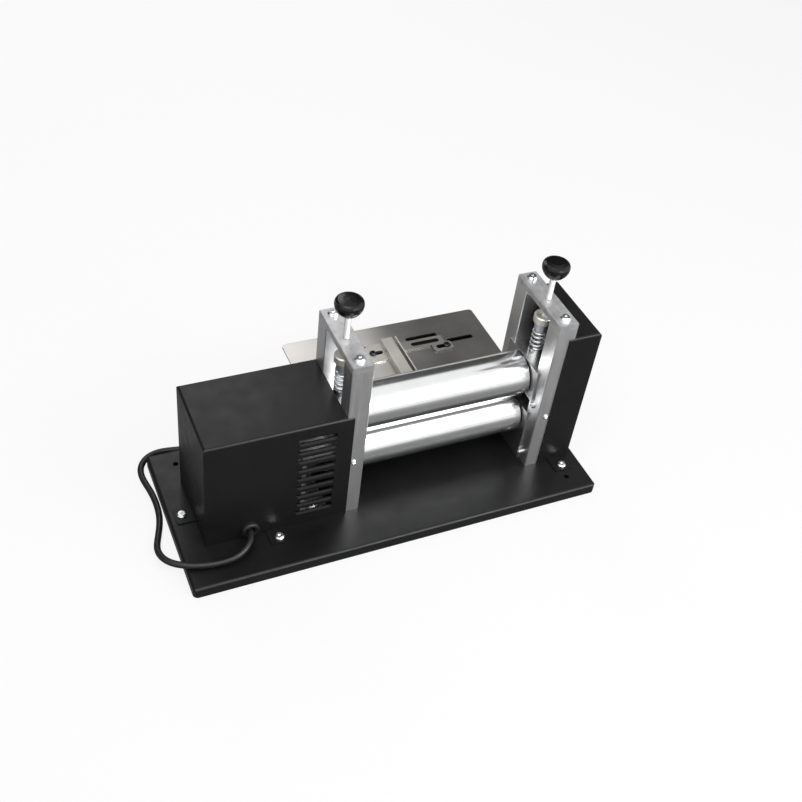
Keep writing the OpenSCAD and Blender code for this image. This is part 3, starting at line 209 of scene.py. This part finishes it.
def metal(name, dark, light, rough, grain=(1, 1, 1), grain_scale=900, depth=0.00002,
          uneven=0.08, patch_scale=30):
    """Bare or plated metal with tool marks along the axis whose grain number is small."""
    material, n, links, bsdf = shader(name)
    bsdf.inputs["Metallic"].default_value = 1
    lines = noise(n, links, grain_scale, FINE_DETAIL, grain)
    patches = noise(n, links, patch_scale, PATCH_DETAIL)
    links.new(tint(n, links, patches, dark, light), bsdf.inputs["Base Color"])
    uneven_rough(n, links, bsdf, lines, rough, uneven, uneven)
    bump(n, links, bsdf, lines, depth)
    return material


def tones_by_height(name, height, low_tones, high_tones, low_rough, high_rough, grain=(1, 1, 1)):
    """Metal that is one tone below a height in millimetres and another above it. On the caps these
    are two finishes; on the right guide the darker lower tone is painted shade.
    """
    material, n, links, bsdf = shader(name)
    bsdf.inputs["Metallic"].default_value = 1
    above = math_node(n, links, "GREATER_THAN", place_along(n, links, "Z"), height * MM)
    patches = noise(n, links, scale=30, detail=PATCH_DETAIL)
    links.new(mixed_tones(n, links, above, patches, low_tones, high_tones),
              bsdf.inputs["Base Color"])
    step = math_node(n, links, "MULTIPLY", above, high_rough - low_rough)
    links.new(math_node(n, links, "ADD", step, low_rough), bsdf.inputs["Roughness"])
    lines = noise(n, links, scale=900, detail=FINE_DETAIL, stretch=grain)
    bump(n, links, bsdf, lines, depth=0.000005)
    return material


def painted_reflection_sheet(name, start, end, reflection_tones, right_tones, rough):
    """Brushed sheet painted bright on its left and darker on its right, between two places along X
    in millimetres: a painted reflection.
    """
    material, n, links, bsdf = shader(name)
    bsdf.inputs["Metallic"].default_value = 1
    along = map_range(n, links, place_along(n, links, "X"), (start * MM, end * MM), (0, 1),
                      "SMOOTHSTEP")
    patches = noise(n, links, scale=14, detail=PATCH_DETAIL)
    links.new(mixed_tones(n, links, along, patches, reflection_tones, right_tones),
              bsdf.inputs["Base Color"])
    lines = noise(n, links, scale=700, detail=FINE_DETAIL, stretch=ALONG_X)
    uneven_rough(n, links, bsdf, lines, rough, below=0.03, above=0.03)
    bump(n, links, bsdf, lines, depth=0.000008)
    return material


def plastic(name, dark, light, rough, scale=400, depth=0.00002, shine=0.4):
    """Moulded plastic or rubber with a faint texture."""
    material, n, links, bsdf = shader(name)
    patches = noise(n, links, scale=40, detail=3)
    links.new(tint(n, links, patches, dark, light), bsdf.inputs["Base Color"])
    uneven_rough(n, links, bsdf, noise(n, links, scale=90, detail=3), rough, below=0.03,
                 above=0.05)
    bsdf.inputs["Specular IOR Level"].default_value = shine
    bump(n, links, bsdf, noise(n, links, scale, FINE_DETAIL), depth, strength=0.4)
    return material


def threaded(name, dark, light, rough, pitch):
    """Plated thread: rings a pitch in metres apart along Z."""
    material, n, links, bsdf = shader(name)
    bsdf.inputs["Metallic"].default_value = 1
    bsdf.inputs["Roughness"].default_value = rough
    patches = noise(n, links, scale=60, detail=3)
    links.new(tint(n, links, patches, dark, light), bsdf.inputs["Base Color"])
    place = n.new("ShaderNodeTexCoord")
    rings = n.new("ShaderNodeTexWave")
    rings.bands_direction = "Z"
    rings.wave_profile = "TRI"
    rings.inputs["Scale"].default_value = 2 * pi / (WAVE_FACTOR * pitch)
    links.new(place.outputs["Object"], rings.inputs["Vector"])
    bump(n, links, bsdf, rings.outputs["Fac"], depth=0.0004, strength=0.8)
    return material


# Grain that runs along an axis
ALONG_X = (0.02, 1, 1)
ALONG_Y = (1, 0.02, 1)
ALONG_Z = (1, 1, 0.02)
# Places where a tone changes, in millimetres: the cap's shoulder between two finishes, and the
# edges of painted shade and painted reflection
CAP_SHOULDER = 168.1
TABLE_TOP = 77.5
# The right guide's foot is painted darker up to this height above the table: painted shade,
# matching the table's painted reflection
FOOT_SHADE_RISE = 1.7
# The table's painted reflection fades from bright to darker between these places along X
REFLECTION_FROM = 25
REFLECTION_TO = 65

black_paint = powder_coat("black_powder_coat", (0.006, 0.006, 0.0065), (0.01, 0.01, 0.0105),
                          0.34, shine=0.26)
post_metal = metal("post_aluminium", (0.72, 0.72, 0.725), (0.82, 0.82, 0.825), 0.38, ALONG_Z)
bar_metal = metal("bar_aluminium", (0.52, 0.52, 0.53), (0.72, 0.72, 0.73), 0.5, ALONG_Y,
                  patch_scale=110)
block_metal = metal("block_steel", (0.5, 0.5, 0.5), (0.62, 0.62, 0.62), 0.36, ALONG_Y)
chrome = metal("roller_chrome", (0.8, 0.805, 0.81), (0.88, 0.885, 0.89), 0.19,
               grain=(1, 40, 40), grain_scale=20, depth=0.000004, uneven=0.03)
zinc = metal("bright_zinc", (0.62, 0.63, 0.64), (0.76, 0.77, 0.77), 0.26)
gear_metal = metal("gear_steel", (0.24, 0.24, 0.25), (0.34, 0.34, 0.35), 0.32, ALONG_X)
bronze = metal("bush_bronze", (0.5, 0.32, 0.14), (0.62, 0.42, 0.2), 0.36)
rod_metal = threaded("rod_thread", (0.86, 0.86, 0.84), (0.94, 0.94, 0.92), 0.4, pitch=0.001)
spring_metal = metal("spring_wire", (0.7, 0.71, 0.73), (0.82, 0.83, 0.85), 0.4)
cap_metal = tones_by_height("cap_nickel", CAP_SHOULDER, ((0.6, 0.62, 0.66), (0.72, 0.74, 0.78)),
                     ((0.84, 0.82, 0.75), (0.92, 0.9, 0.83)), 0.44, 0.5)
# Painted reflection: the table is painted bright on its left and darker on its right
table_metal = painted_reflection_sheet("table_stainless", REFLECTION_FROM, REFLECTION_TO,
                     ((0.62, 0.6, 0.57), (0.72, 0.7, 0.67)),
                     ((0.19, 0.185, 0.175), (0.33, 0.32, 0.305)), 0.38)
guide_metal = metal("guide_stainless", (0.58, 0.56, 0.52), (0.7, 0.68, 0.63), 0.42, ALONG_Y)
# Painted shade: the right guide's foot is painted darker than its upright, which is the same sheet
right_guide_metal = tones_by_height("right_guide_stainless", TABLE_TOP + FOOT_SHADE_RISE,
                             ((0.36, 0.355, 0.34), (0.46, 0.45, 0.43)),
                             ((0.72, 0.7, 0.65), (0.82, 0.8, 0.75)), 0.38, 0.42, ALONG_Y)
blade_metal = metal("blade_ground", (0.26, 0.265, 0.28), (0.34, 0.345, 0.36), 0.24, ALONG_Y)
dark_metal = metal("blackened_steel", (0.03, 0.03, 0.031), (0.055, 0.055, 0.057), 0.45)
sheet_zinc = metal("zinc_sheet", (0.82, 0.82, 0.81), (0.92, 0.92, 0.91), 0.5, patch_scale=110)
knob_plastic = plastic("knob_gloss_black", (0.0015, 0.0015, 0.0015), (0.003, 0.003, 0.003), 0.24,
                       scale=200, depth=0.000004)
cord_rubber = plastic("lead_black", (0.008, 0.008, 0.0085), (0.012, 0.012, 0.0125), 0.38,
                      scale=900)
grommet_rubber = plastic("grommet_black", (0.008, 0.008, 0.0085), (0.012, 0.012, 0.0125), 0.45,
                         scale=900)
plug_rubber = plastic("plug_black", (0.012, 0.012, 0.0125), (0.018, 0.018, 0.019), 0.5,
                      scale=1200)
tie_fabric = plastic("tie_black", (0.01, 0.01, 0.0105), (0.02, 0.02, 0.021), 0.85, scale=2600,
                     depth=0.0002, shine=0.2)
switch_plastic = plastic("switch_black", (0.01, 0.01, 0.01), (0.016, 0.016, 0.016), 0.45,
                         scale=1500)
rocker_plastic = plastic("rocker_gloss", (0.01, 0.01, 0.01), (0.014, 0.014, 0.014), 0.22)
motor_paint = powder_coat("motor_black", (0.02, 0.02, 0.022), (0.03, 0.03, 0.032), 0.4)
gearbox_paint = powder_coat("gearbox_grey", (0.035, 0.035, 0.037), (0.05, 0.05, 0.052), 0.5)
capacitor_plastic = plastic("capacitor_grey", (0.6, 0.6, 0.58), (0.68, 0.68, 0.66), 0.5)
terminal_plastic = plastic("terminal_white", (0.7, 0.7, 0.67), (0.78, 0.78, 0.75), 0.45)
pin_brass = metal("pin_brass", (0.62, 0.48, 0.22), (0.74, 0.6, 0.32), 0.24)

LOOKS = {
    black_paint: ["base_plate", "motor_box", "gear_cover"],
    post_metal: ["left_front_post", "left_rear_post", "right_front_post", "right_rear_post"],
    bar_metal: ["left_top_bar", "right_top_bar"],
    block_metal: ["lower_left_block", "lower_right_block", "upper_left_block",
                  "upper_right_block"],
    bronze: ["lower_bushes", "upper_bushes"],
    chrome: ["lower_roller", "upper_roller"],
    gear_metal: ["lower_gear", "upper_gear", "shaft_coupling", "gearbox_shaft"],
    zinc: ["foot_screws", "top_bar_screws", "side_screws", "block_screws", "lower_gear_screw",
           "upper_gear_screw", "bracket_screws", "flange_screws", "left_spring_seat",
           "right_spring_seat", "table_screws", "blade_screws"],
    rod_metal: ["left_adjusting_screw", "right_adjusting_screw"],
    spring_metal: ["left_spring", "right_spring"],
    cap_metal: ["left_spring_cap", "right_spring_cap"],
    knob_plastic: ["left_knob", "right_knob"],
    table_metal: ["feed_table"],
    guide_metal: ["left_guide"],
    right_guide_metal: ["right_guide"],
    blade_metal: ["skiving_blade"],
    dark_metal: ["table_brackets", "blade_holder", "guide_screws"],
    sheet_zinc: ["motor_bracket"],
    motor_paint: ["motor_body"],
    gearbox_paint: ["gearbox_housing"],
    capacitor_plastic: ["run_capacitor"],
    terminal_plastic: ["terminal_block"],
    switch_plastic: ["switch_body"],
    rocker_plastic: ["switch_rocker"],
    grommet_rubber: ["cord_grommet"],
    cord_rubber: ["cord_run", "cord_coil"],
    plug_rubber: ["plug_body"],
    pin_brass: ["plug_pins"],
}
for material, names in LOOKS.items():
    for name in names:
        nodes[name].data.materials.clear()
        nodes[name].data.materials.append(material)


# Broken edges, as a width in millimetres

EDGES = {
    0.2: ["feed_table", "left_guide", "right_guide"],
    0.3: ["lower_left_block", "lower_right_block", "upper_left_block", "upper_right_block",
          "blade_holder", "table_brackets", "motor_bracket"],
    0.35: ["motor_box", "gear_cover"],
    0.6: ["plug_body", "switch_body"],
    1.5: ["base_plate"],
}
EDGE_SEGMENTS = 2
# Edges that turn by less than this stay as they are
EDGE_ANGLE = radians(50)


def break_edges(piece, width):
    """A small bevel on every sharp edge of a piece."""
    bevel = piece.modifiers.new("broken_edges", "BEVEL")
    bevel.width = width * MM
    bevel.segments = EDGE_SEGMENTS
    bevel.limit_method = "ANGLE"
    bevel.angle_limit = EDGE_ANGLE
    bevel.use_clamp_overlap = True


for width, names in EDGES.items():
    for name in names:
        break_edges(nodes[name], width)


# Mesh helpers

def add_mesh(name, points, faces, material, smooth=True):
    """A new piece of the scene, in metres."""
    mesh = bpy.data.meshes.new(name)
    mesh.from_pydata([tuple(p) for p in points], [], faces)
    mesh.update()
    for polygon in mesh.polygons:
        polygon.use_smooth = smooth
    mesh.materials.append(material)
    piece = bpy.data.objects.new(name, mesh)
    bpy.context.collection.objects.link(piece)
    return piece


def loft(rings, sides, first=0, closed=False):
    """Faces over rings of points, with a cap at each end unless the last ring meets the first."""
    faces = []
    for i in range(rings if closed else rings - 1):
        here = first + i * sides
        there = first + (i + 1) % rings * sides
        for k in range(sides):
            after = (k + 1) % sides
            faces.append((here + k, here + after, there + after, there + k))
    if not closed:
        last = first + (rings - 1) * sides
        faces.append(tuple(first + k for k in reversed(range(sides))))
        faces.append(tuple(last + k for k in range(sides)))
    return faces


def tube(name, path, outs, radius, sides, material):
    """A closed round tube along a path, with a direction away from the path at each point."""
    points = []
    last = len(path) - 1
    for i, (p, out) in enumerate(zip(path, outs)):
        along = (path[min(i + 1, last)] - path[max(i - 1, 0)]).normalized()
        u = (out - along * out.dot(along)).normalized()
        v = along.cross(u)
        for k in range(sides):
            a = 2 * pi * k / sides
            points.append(p + (u * cos(a) + v * sin(a)) * radius)
    return add_mesh(name, points, loft(len(path), sides), material)


# Pressed lips below the vent slots of the motor box, in millimetres. The slots' sizes and places
# are those of part.scad.

BOX_FACE_Y = -42.2
VENT_X = -82
VENT_Z = 30
VENT_COUNT = 9
VENT_L = 37
VENT_H = 4.4
VENT_PITCH = 11.4
LIP_H = 2.8
LIP_OUT = 1.1
LIP_SUNK = 0.1
LIP_RUN_OUT = 2.5
LIP_END_SHARE = 0.06
# Down the lip and out from the sheet, as shares of LIP_H and LIP_OUT
LIP_SHARES = [(0, 0), (0.8, 1), (0.93, 0.86), (1, 0)]


def add_vent_lips():
    """One lip a slot: it leans outwards below the slot and its ends run out to the sheet."""
    points, faces = [], []
    half = VENT_L / 2
    stations = [(-half, LIP_END_SHARE), (-half + LIP_RUN_OUT, 1), (half - LIP_RUN_OUT, 1),
                (half, LIP_END_SHARE)]
    section = [(LIP_H * down, LIP_OUT * out) for down, out in LIP_SHARES]
    for i in range(VENT_COUNT):
        low = VENT_Z + i * VENT_PITCH - VENT_H / 2
        faces += loft(len(stations), len(section), first=len(points))
        for x, share in stations:
            for down, out in section:
                proud = (LIP_SUNK + out) * share if out else 0
                points.append(mm(VENT_X + x, BOX_FACE_Y + LIP_SUNK - proud, low - down))
    lips = add_mesh("vent_lips", points, faces, black_paint, smooth=False)
    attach(lips, "frame")


add_vent_lips()


# Mains lead: the route and the coil of part.scad, in millimetres, with smooth curves between

LEAD_D = 6.2
# Height of the lead's middle where it lies on the ground
LEAD_LOW = 3.2
LEAD_SIDES = 20
# Steps that each stretch of the route is cut into
LEAD_PARTS = 3
ROUTE = [
    (-144.5, -43.3, 22.6), (-145.1, -48.9, 22.5), (-147.6, -55.4, 21.8), (-152.2, -61.1, 20.4),
    (-158.5, -65.2, 18.6), (-165.9, -67.2, 16.9), (-174.4, -67.4, 15.5), (-184, -66.4, 14.6),
    (-194, -64.6, 14.3), (-202, -62.5, 14.3), (-209.5, -59.6, 14.3), (-216.6, -55.5, 13.9),
    (-222.5, -49.6, 12.7), (-226.5, -42, 11.1), (-228.1, -33.4, 9.3), (-227.3, -24.6, 7.4),
    (-223.6, -13.8, 5.2), (-219.2, -1.6, 3.7), (-215.8, 10, 3.2), (-214.2, 22, 3.2),
    (-214.2, 36, 3.2), (-215.6, 49, 3.2), (-218.2, 61, 3.2), (-219, 71, 3.2),
    (-217.6, 79.8, 3.2), (-213.2, 87.6, 3.2), (-206.4, 93.4, 3.2), (-197.8, 96.4, 3.2),
    (-188, 96.3, 3.2), (-176, 94, 3.2), (-162, 91.9, 3.2), (-140, 91.4, 3.2),
    (-110, 91.4, 3.2), (-80, 91.4, 3.2), (-54, 92, 3.2), (-30, 94.6, 3.2),
    (-8, 98, 3.2), (10, 100.2, 3.2), (24, 100.6, 3.2), (32, 100.6, 3.2)]
COIL_X = 40
COIL_TURNS = 2.75
COIL_MID_D = 68
COIL_GAP = 0.45
# Share of a turn in which the lead climbs from the lower layer to the upper one
CLIMB = 0.5
LOOP_RINGS = 24
TAIL = 24
TAIL_STEPS = 4
STEP = LEAD_D + COIL_GAP
COIL_OUT = COIL_MID_D / 2 + COIL_TURNS * STEP / 2
COIL_Y = ROUTE[-1][1] + COIL_OUT
TURN_BACK = COIL_TURNS + CLIMB / 2
ALL_TURNS = 2 * COIL_TURNS + CLIMB


def coil_point(t):
    """The coil after t turns: inwards in the lower layer, a climb, and outwards in the upper."""
    radius = COIL_OUT - STEP * (TURN_BACK - abs(t - TURN_BACK))
    height = LEAD_LOW + STEP * min(1, max(0, (t - COIL_TURNS) / CLIMB))
    return (COIL_X + radius * sin(2 * pi * t), COIL_Y - radius * cos(2 * pi * t), height)


def lead_points():
    """Route, coil and straight tail to the plug."""
    loops = [coil_point(k / LOOP_RINGS) for k in range(round(LOOP_RINGS * ALL_TURNS) + 1)]
    end = loops[-1]
    tail = [(end[0] + TAIL * k / TAIL_STEPS, end[1], end[2]) for k in range(1, TAIL_STEPS + 1)]
    return [mm(*p) for p in ROUTE + loops + tail]


def smooth_path(points, parts):
    """A cubic B-spline along the points, straight at its ends, with this many steps a stretch."""
    out = []
    last = len(points) - 1
    for i in range(last):
        b, c = points[i], points[i + 1]
        a = points[i - 1] if i else b * 2 - c
        d = points[i + 2] if i + 2 <= last else c * 2 - b
        for k in range(parts):
            t = k / parts
            out.append((a * (1 - t) ** 3 + b * (3 * t ** 3 - 6 * t * t + 4)
                        + c * (3 * t * t + 3 * t + 1 - 3 * t ** 3) + d * t ** 3) / 6)
    return out + [points[last]]


lead_path = smooth_path(lead_points(), LEAD_PARTS)
lead = tube("mains_lead", lead_path, [UP] * len(lead_path), LEAD_D / 2 * MM, LEAD_SIDES,
            cord_rubber)
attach(lead, "frame")
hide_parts("cord_run", "cord_coil")


def outline_of(points):
    """Corners of the smallest convex outline around points in a plane, anticlockwise."""
    def half(line):
        """One side of the outline, without its last corner."""
        out = []
        for p in line:
            while len(out) > 1 and ((out[-1][0] - out[-2][0]) * (p[1] - out[-2][1])
                                    <= (out[-1][1] - out[-2][1]) * (p[0] - out[-2][0])):
                out.pop()
            out.append(p)
        return out[:-1]
    line = sorted(set(points))
    return half(line) + half(line[::-1])


# Place of the tie, in turns of the coil
TIE_AT = 0.4
TIE_W = 9
TIE_T = 0.8
TIE_BITE = 0.5
TIE_LOW = 0.05
TIE_LAP = 4
TIE_EDGE = 0.2
# Loops of each layer that the tie goes around
TIE_LOOPS = 3
# Corners of the outline around one strand, and the decimals that they are rounded to
STRAND_CORNERS = 24
STRAND_DECIMALS = 4


def add_tie():
    """A woven strap drawn tight around both layers of the coil, its end lapped on top."""
    a = 2 * pi * TIE_AT
    out_way = Vector((sin(a), -cos(a), 0))
    side_way = Vector((cos(a), sin(a), 0))
    strands = [coil_point(start + k) for start in (TIE_AT, TURN_BACK + TIE_AT)
               for k in range(TIE_LOOPS)]
    middles = [((p[0] - COIL_X) * out_way.x + (p[1] - COIL_Y) * out_way.y, p[2])
               for p in strands]
    r = LEAD_D / 2 - TIE_BITE
    corners = []
    for m in middles:
        for k in range(STRAND_CORNERS):
            b = 2 * pi * k / STRAND_CORNERS
            corners.append((round(m[0] + r * cos(b), STRAND_DECIMALS),
                            round(m[1] + r * sin(b), STRAND_DECIMALS)))
    ring = outline_of(corners)
    middle = (sum(p[0] for p in ring) / len(ring), sum(p[1] for p in ring) / len(ring))

    def band(name, line, inner, outer, closed):
        """A strap over a line of corners, between two distances away from it."""
        points = []
        count = len(line)
        for i, p in enumerate(line):
            before = line[i - 1] if closed or i else p
            after = line[(i + 1) % count] if closed or i < count - 1 else p
            way = Vector((after[1] - before[1], before[0] - after[0])).normalized()
            section = ((inner, -1), (inner, 1), (outer, 1), (outer, -1))
            for away, side in section:
                x = p[0] + way.x * away
                z = max(TIE_LOW, p[1] + way.y * away)
                points.append(mm(COIL_X, COIL_Y, z)
                              + (out_way * x + side_way * side * TIE_W / 2) * MM)
        return add_mesh(name, points, loft(count, len(section), closed=closed), tie_fabric,
                        smooth=False)

    strap = band("coil_tie", ring, 0, TIE_T, True)
    lap = [p for p in ring if p[1] > middle[1] and p[0] > middle[0] - TIE_LAP]
    lap_end = band("coil_tie_end", sorted(lap, key=lambda p: -p[0]), TIE_T, 2 * TIE_T, False)
    for piece in (strap, lap_end):
        break_edges(piece, TIE_EDGE)
        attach(piece, "frame")
    return [strap, lap_end]


tie = add_tie()


# Pressure springs: round wire with closed ends, in two halves

WIRE_D = 2.4
SPRING_TURNS = 4.5
# Turns at each end that are wound close, and turns in which the pitch then opens
END_TURNS = 0.35
OPENING_TURNS = 0.45
CLOSED_PITCH_SHARE = 1.03
CLOSED_PITCH = CLOSED_PITCH_SHARE * WIRE_D
# Rings a turn, and points a ring
WIRE_RINGS = 28
WIRE_SIDES = 14


def spring_height(t, rise):
    """Height of the wire after t turns: close wound at the ends, evenly open between them."""
    mid = SPRING_TURNS / 2
    if t > mid:
        return rise - spring_height(SPRING_TURNS - t, rise)
    opened = OPENING_TURNS / 2
    pitch = ((rise / 2 - CLOSED_PITCH * (END_TURNS + opened))
             / (mid - END_TURNS - opened))
    if t < END_TURNS:
        return CLOSED_PITCH * t
    u = min(t - END_TURNS, OPENING_TURNS)
    height = (CLOSED_PITCH * END_TURNS + CLOSED_PITCH * u
              + (pitch - CLOSED_PITCH) * u * u / (2 * OPENING_TURNS))
    return height + pitch * max(0, t - END_TURNS - OPENING_TURNS)


def add_spring(side, start_angle):
    """The lower half goes from the carriage's seat to the spring's middle, the upper half from
    there to the cap.
    """
    low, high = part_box(side + "_spring")
    low, high = Vector(low) / MM, Vector(high) / MM
    middle = (low + high) / 2
    radius = (high.x - low.x) / 2 - WIRE_D / 2
    rise = high.z - low.z - WIRE_D
    count = round(SPRING_TURNS * WIRE_RINGS)
    path, outs = [], []
    for i in range(count + 1):
        t = SPRING_TURNS * i / count
        a = start_angle + 2 * pi * t
        out = Vector((cos(a), sin(a), 0))
        outs.append(out)
        path.append(mm(middle.x, middle.y, low.z + WIRE_D / 2 + spring_height(t, rise))
                    + out * radius * MM)
    cut = count // 2
    halves = ((slice(0, cut + 1), "pressure_carriage", "frame", low.z, middle.z - WIRE_D / 2),
              (slice(cut, count + 1), "frame", side + "_cap", middle.z + WIRE_D / 2, high.z))
    for part, (rings, first, second, start, end) in zip(("lower", "upper"), halves):
        piece = tube(f"{side}_spring_{part}", path[rings], outs[rings], WIRE_D / 2 * MM,
                     WIRE_SIDES, spring_metal)
        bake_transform(piece)
        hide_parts(side + "_spring")


add_spring("left", start_angle=radians(20))
add_spring("right", start_angle=radians(200))


# Lights, floor and background, in metres and watts

LIGHT_AIM = (0, 0, 0.1)
# Place, width, height and power
LIGHTS = {
    "key_light": ((-0.5, -0.6, 1.6), 1.2, 1.2, 12),
    "front_light": ((0.5, -1.0, 1.0), 0.45, 0.45, 5),
    "front_card": ((0.6, -1.15, 1.05), 1.0, 1.2, 17),
    "fill_light": ((1.4, -0.9, 0.9), 1.0, 1.0, 5),
    "back_light": ((0.05, 1.3, 1.15), 0.7, 0.7, 4),
}
WORLD_LEVEL = 0.42
# The mirrored studio is dim behind a plane that leans by this angle, over this blur
REAR_EDGE = radians(54)
REAR_BLUR = 0.06
REAR_LEVEL = 0.06
FLOOR_HALF = 6.0
FLOOR_DROP = 0.0002
FLOOR_TONE = (0.9, 0.9, 0.9, 1)
FLOOR_ROUGH = 0.9
# Share of plain white in the floor that the camera sees
FLOOR_SEEN = 0.82
# The mirrored floor: its glow near the machine, lowered as painted shade, and the distances over
# which it grows to white
FLOOR_MIRRORED = 0.26
FLOOR_NEAR = 0.3
FLOOR_FAR = 2


def area_light(name, place, width, height, power):
    """A soft light that faces the machine."""
    data = bpy.data.lights.new(name, "AREA")
    data.energy = power
    data.shape = "RECTANGLE"
    data.size = width
    data.size_y = height
    light = bpy.data.objects.new(name, data)
    bpy.context.collection.objects.link(light)
    light.location = place
    facing = Vector(LIGHT_AIM) - Vector(place)
    light.rotation_euler = facing.to_track_quat("-Z", "Y").to_euler()
    return light


def mirrored_ray(tree_nodes, links, path):
    """1 for a ray that a glossy or clear surface sends on, else 0."""
    return math_node(tree_nodes, links, "MAXIMUM", path.outputs["Is Glossy Ray"],
                     path.outputs["Is Transmission Ray"])


def mix_shaders(tree_nodes, links, share, first, second):
    """The first shader where the share is 0, and the second where it is 1."""
    mix = tree_nodes.new("ShaderNodeMixShader")
    links.new(share, mix.inputs["Fac"])
    links.new(first.outputs[0], mix.inputs[1])
    links.new(second.outputs[0], mix.inputs[2])
    return mix


def add_world():
    """Even light; seen directly it is white, and mirrored it is a white studio with a dim rear."""
    world = bpy.data.worlds.new("studio")
    world.use_nodes = True
    bpy.context.scene.world = world
    n, links = world.node_tree.nodes, world.node_tree.links
    path = n.new("ShaderNodeLightPath")
    camera_ray = path.outputs["Is Camera Ray"]
    place = n.new("ShaderNodeTexCoord")
    front = n.new("ShaderNodeVectorMath")
    front.operation = "DOT_PRODUCT"
    front.inputs[1].default_value = (0, -sin(REAR_EDGE), cos(REAR_EDGE))
    links.new(place.outputs["Generated"], front.inputs[0])
    sky = map_range(n, links, front.outputs["Value"], (-REAR_BLUR, REAR_BLUR), (REAR_LEVEL, 1),
                    "SMOOTHSTEP")
    mirrored = mirrored_ray(n, links, path)
    light = n["Background"]
    light.inputs["Color"].default_value = WHITE
    light.inputs["Strength"].default_value = WORLD_LEVEL
    shown = n.new("ShaderNodeBackground")
    shown.inputs["Color"].default_value = WHITE
    links.new(math_node(n, links, "MAXIMUM", camera_ray, sky), shown.inputs["Strength"])
    seen = math_node(n, links, "MAXIMUM", mirrored, camera_ray)
    mix = mix_shaders(n, links, seen, light, shown)
    links.new(mix.outputs[0], n["World Output"].inputs["Surface"])


def floor_material():
    """Pale floor that keeps shadows: mostly white to the camera; in reflections its glow is painted
    darker near the machine as shade and grows to white further out.
    """
    material, n, links, bsdf = shader("pale_floor")
    bsdf.inputs["Base Color"].default_value = FLOOR_TONE
    bsdf.inputs["Roughness"].default_value = FLOOR_ROUGH
    glow = n.new("ShaderNodeEmission")
    glow.inputs["Color"].default_value = WHITE
    glow.inputs["Strength"].default_value = 1
    path = n.new("ShaderNodeLightPath")
    mirrored = mirrored_ray(n, links, path)
    share = math_node(n, links, "MULTIPLY", path.outputs["Is Camera Ray"], FLOOR_SEEN)
    seen = mix_shaders(n, links, share, bsdf, glow)
    dim = n.new("ShaderNodeEmission")
    dim.inputs["Color"].default_value = WHITE
    place = n.new("ShaderNodeTexCoord")
    away = n.new("ShaderNodeVectorMath")
    away.operation = "LENGTH"
    links.new(place.outputs["Object"], away.inputs[0])
    # Painted shade: the mirrored glow is dimmer near the machine
    level = map_range(n, links, away.outputs["Value"], (FLOOR_NEAR, FLOOR_FAR),
                      (FLOOR_MIRRORED, 1))
    links.new(level, dim.inputs["Strength"])
    mix = mix_shaders(n, links, mirrored, seen, dim)
    links.new(mix.outputs[0], n["Material Output"].inputs["Surface"])
    return material


def add_floor():
    """A plain square floor, a hair below the machine."""
    corners = [(-1, -1), (1, -1), (1, 1), (-1, 1)]
    floor = add_mesh("floor", [(x * FLOOR_HALF, y * FLOOR_HALF, 0) for x, y in corners],
                     [(0, 1, 2, 3)], floor_material(), smooth=False)
    floor.location.z = -FLOOR_DROP


add_world()
add_floor()
lights = {name: area_light(name, *values) for name, values in LIGHTS.items()}
# The card shows in gloss alone
lights["front_card"].visible_diffuse = False

bpy.context.scene.view_settings.view_transform = "Standard"
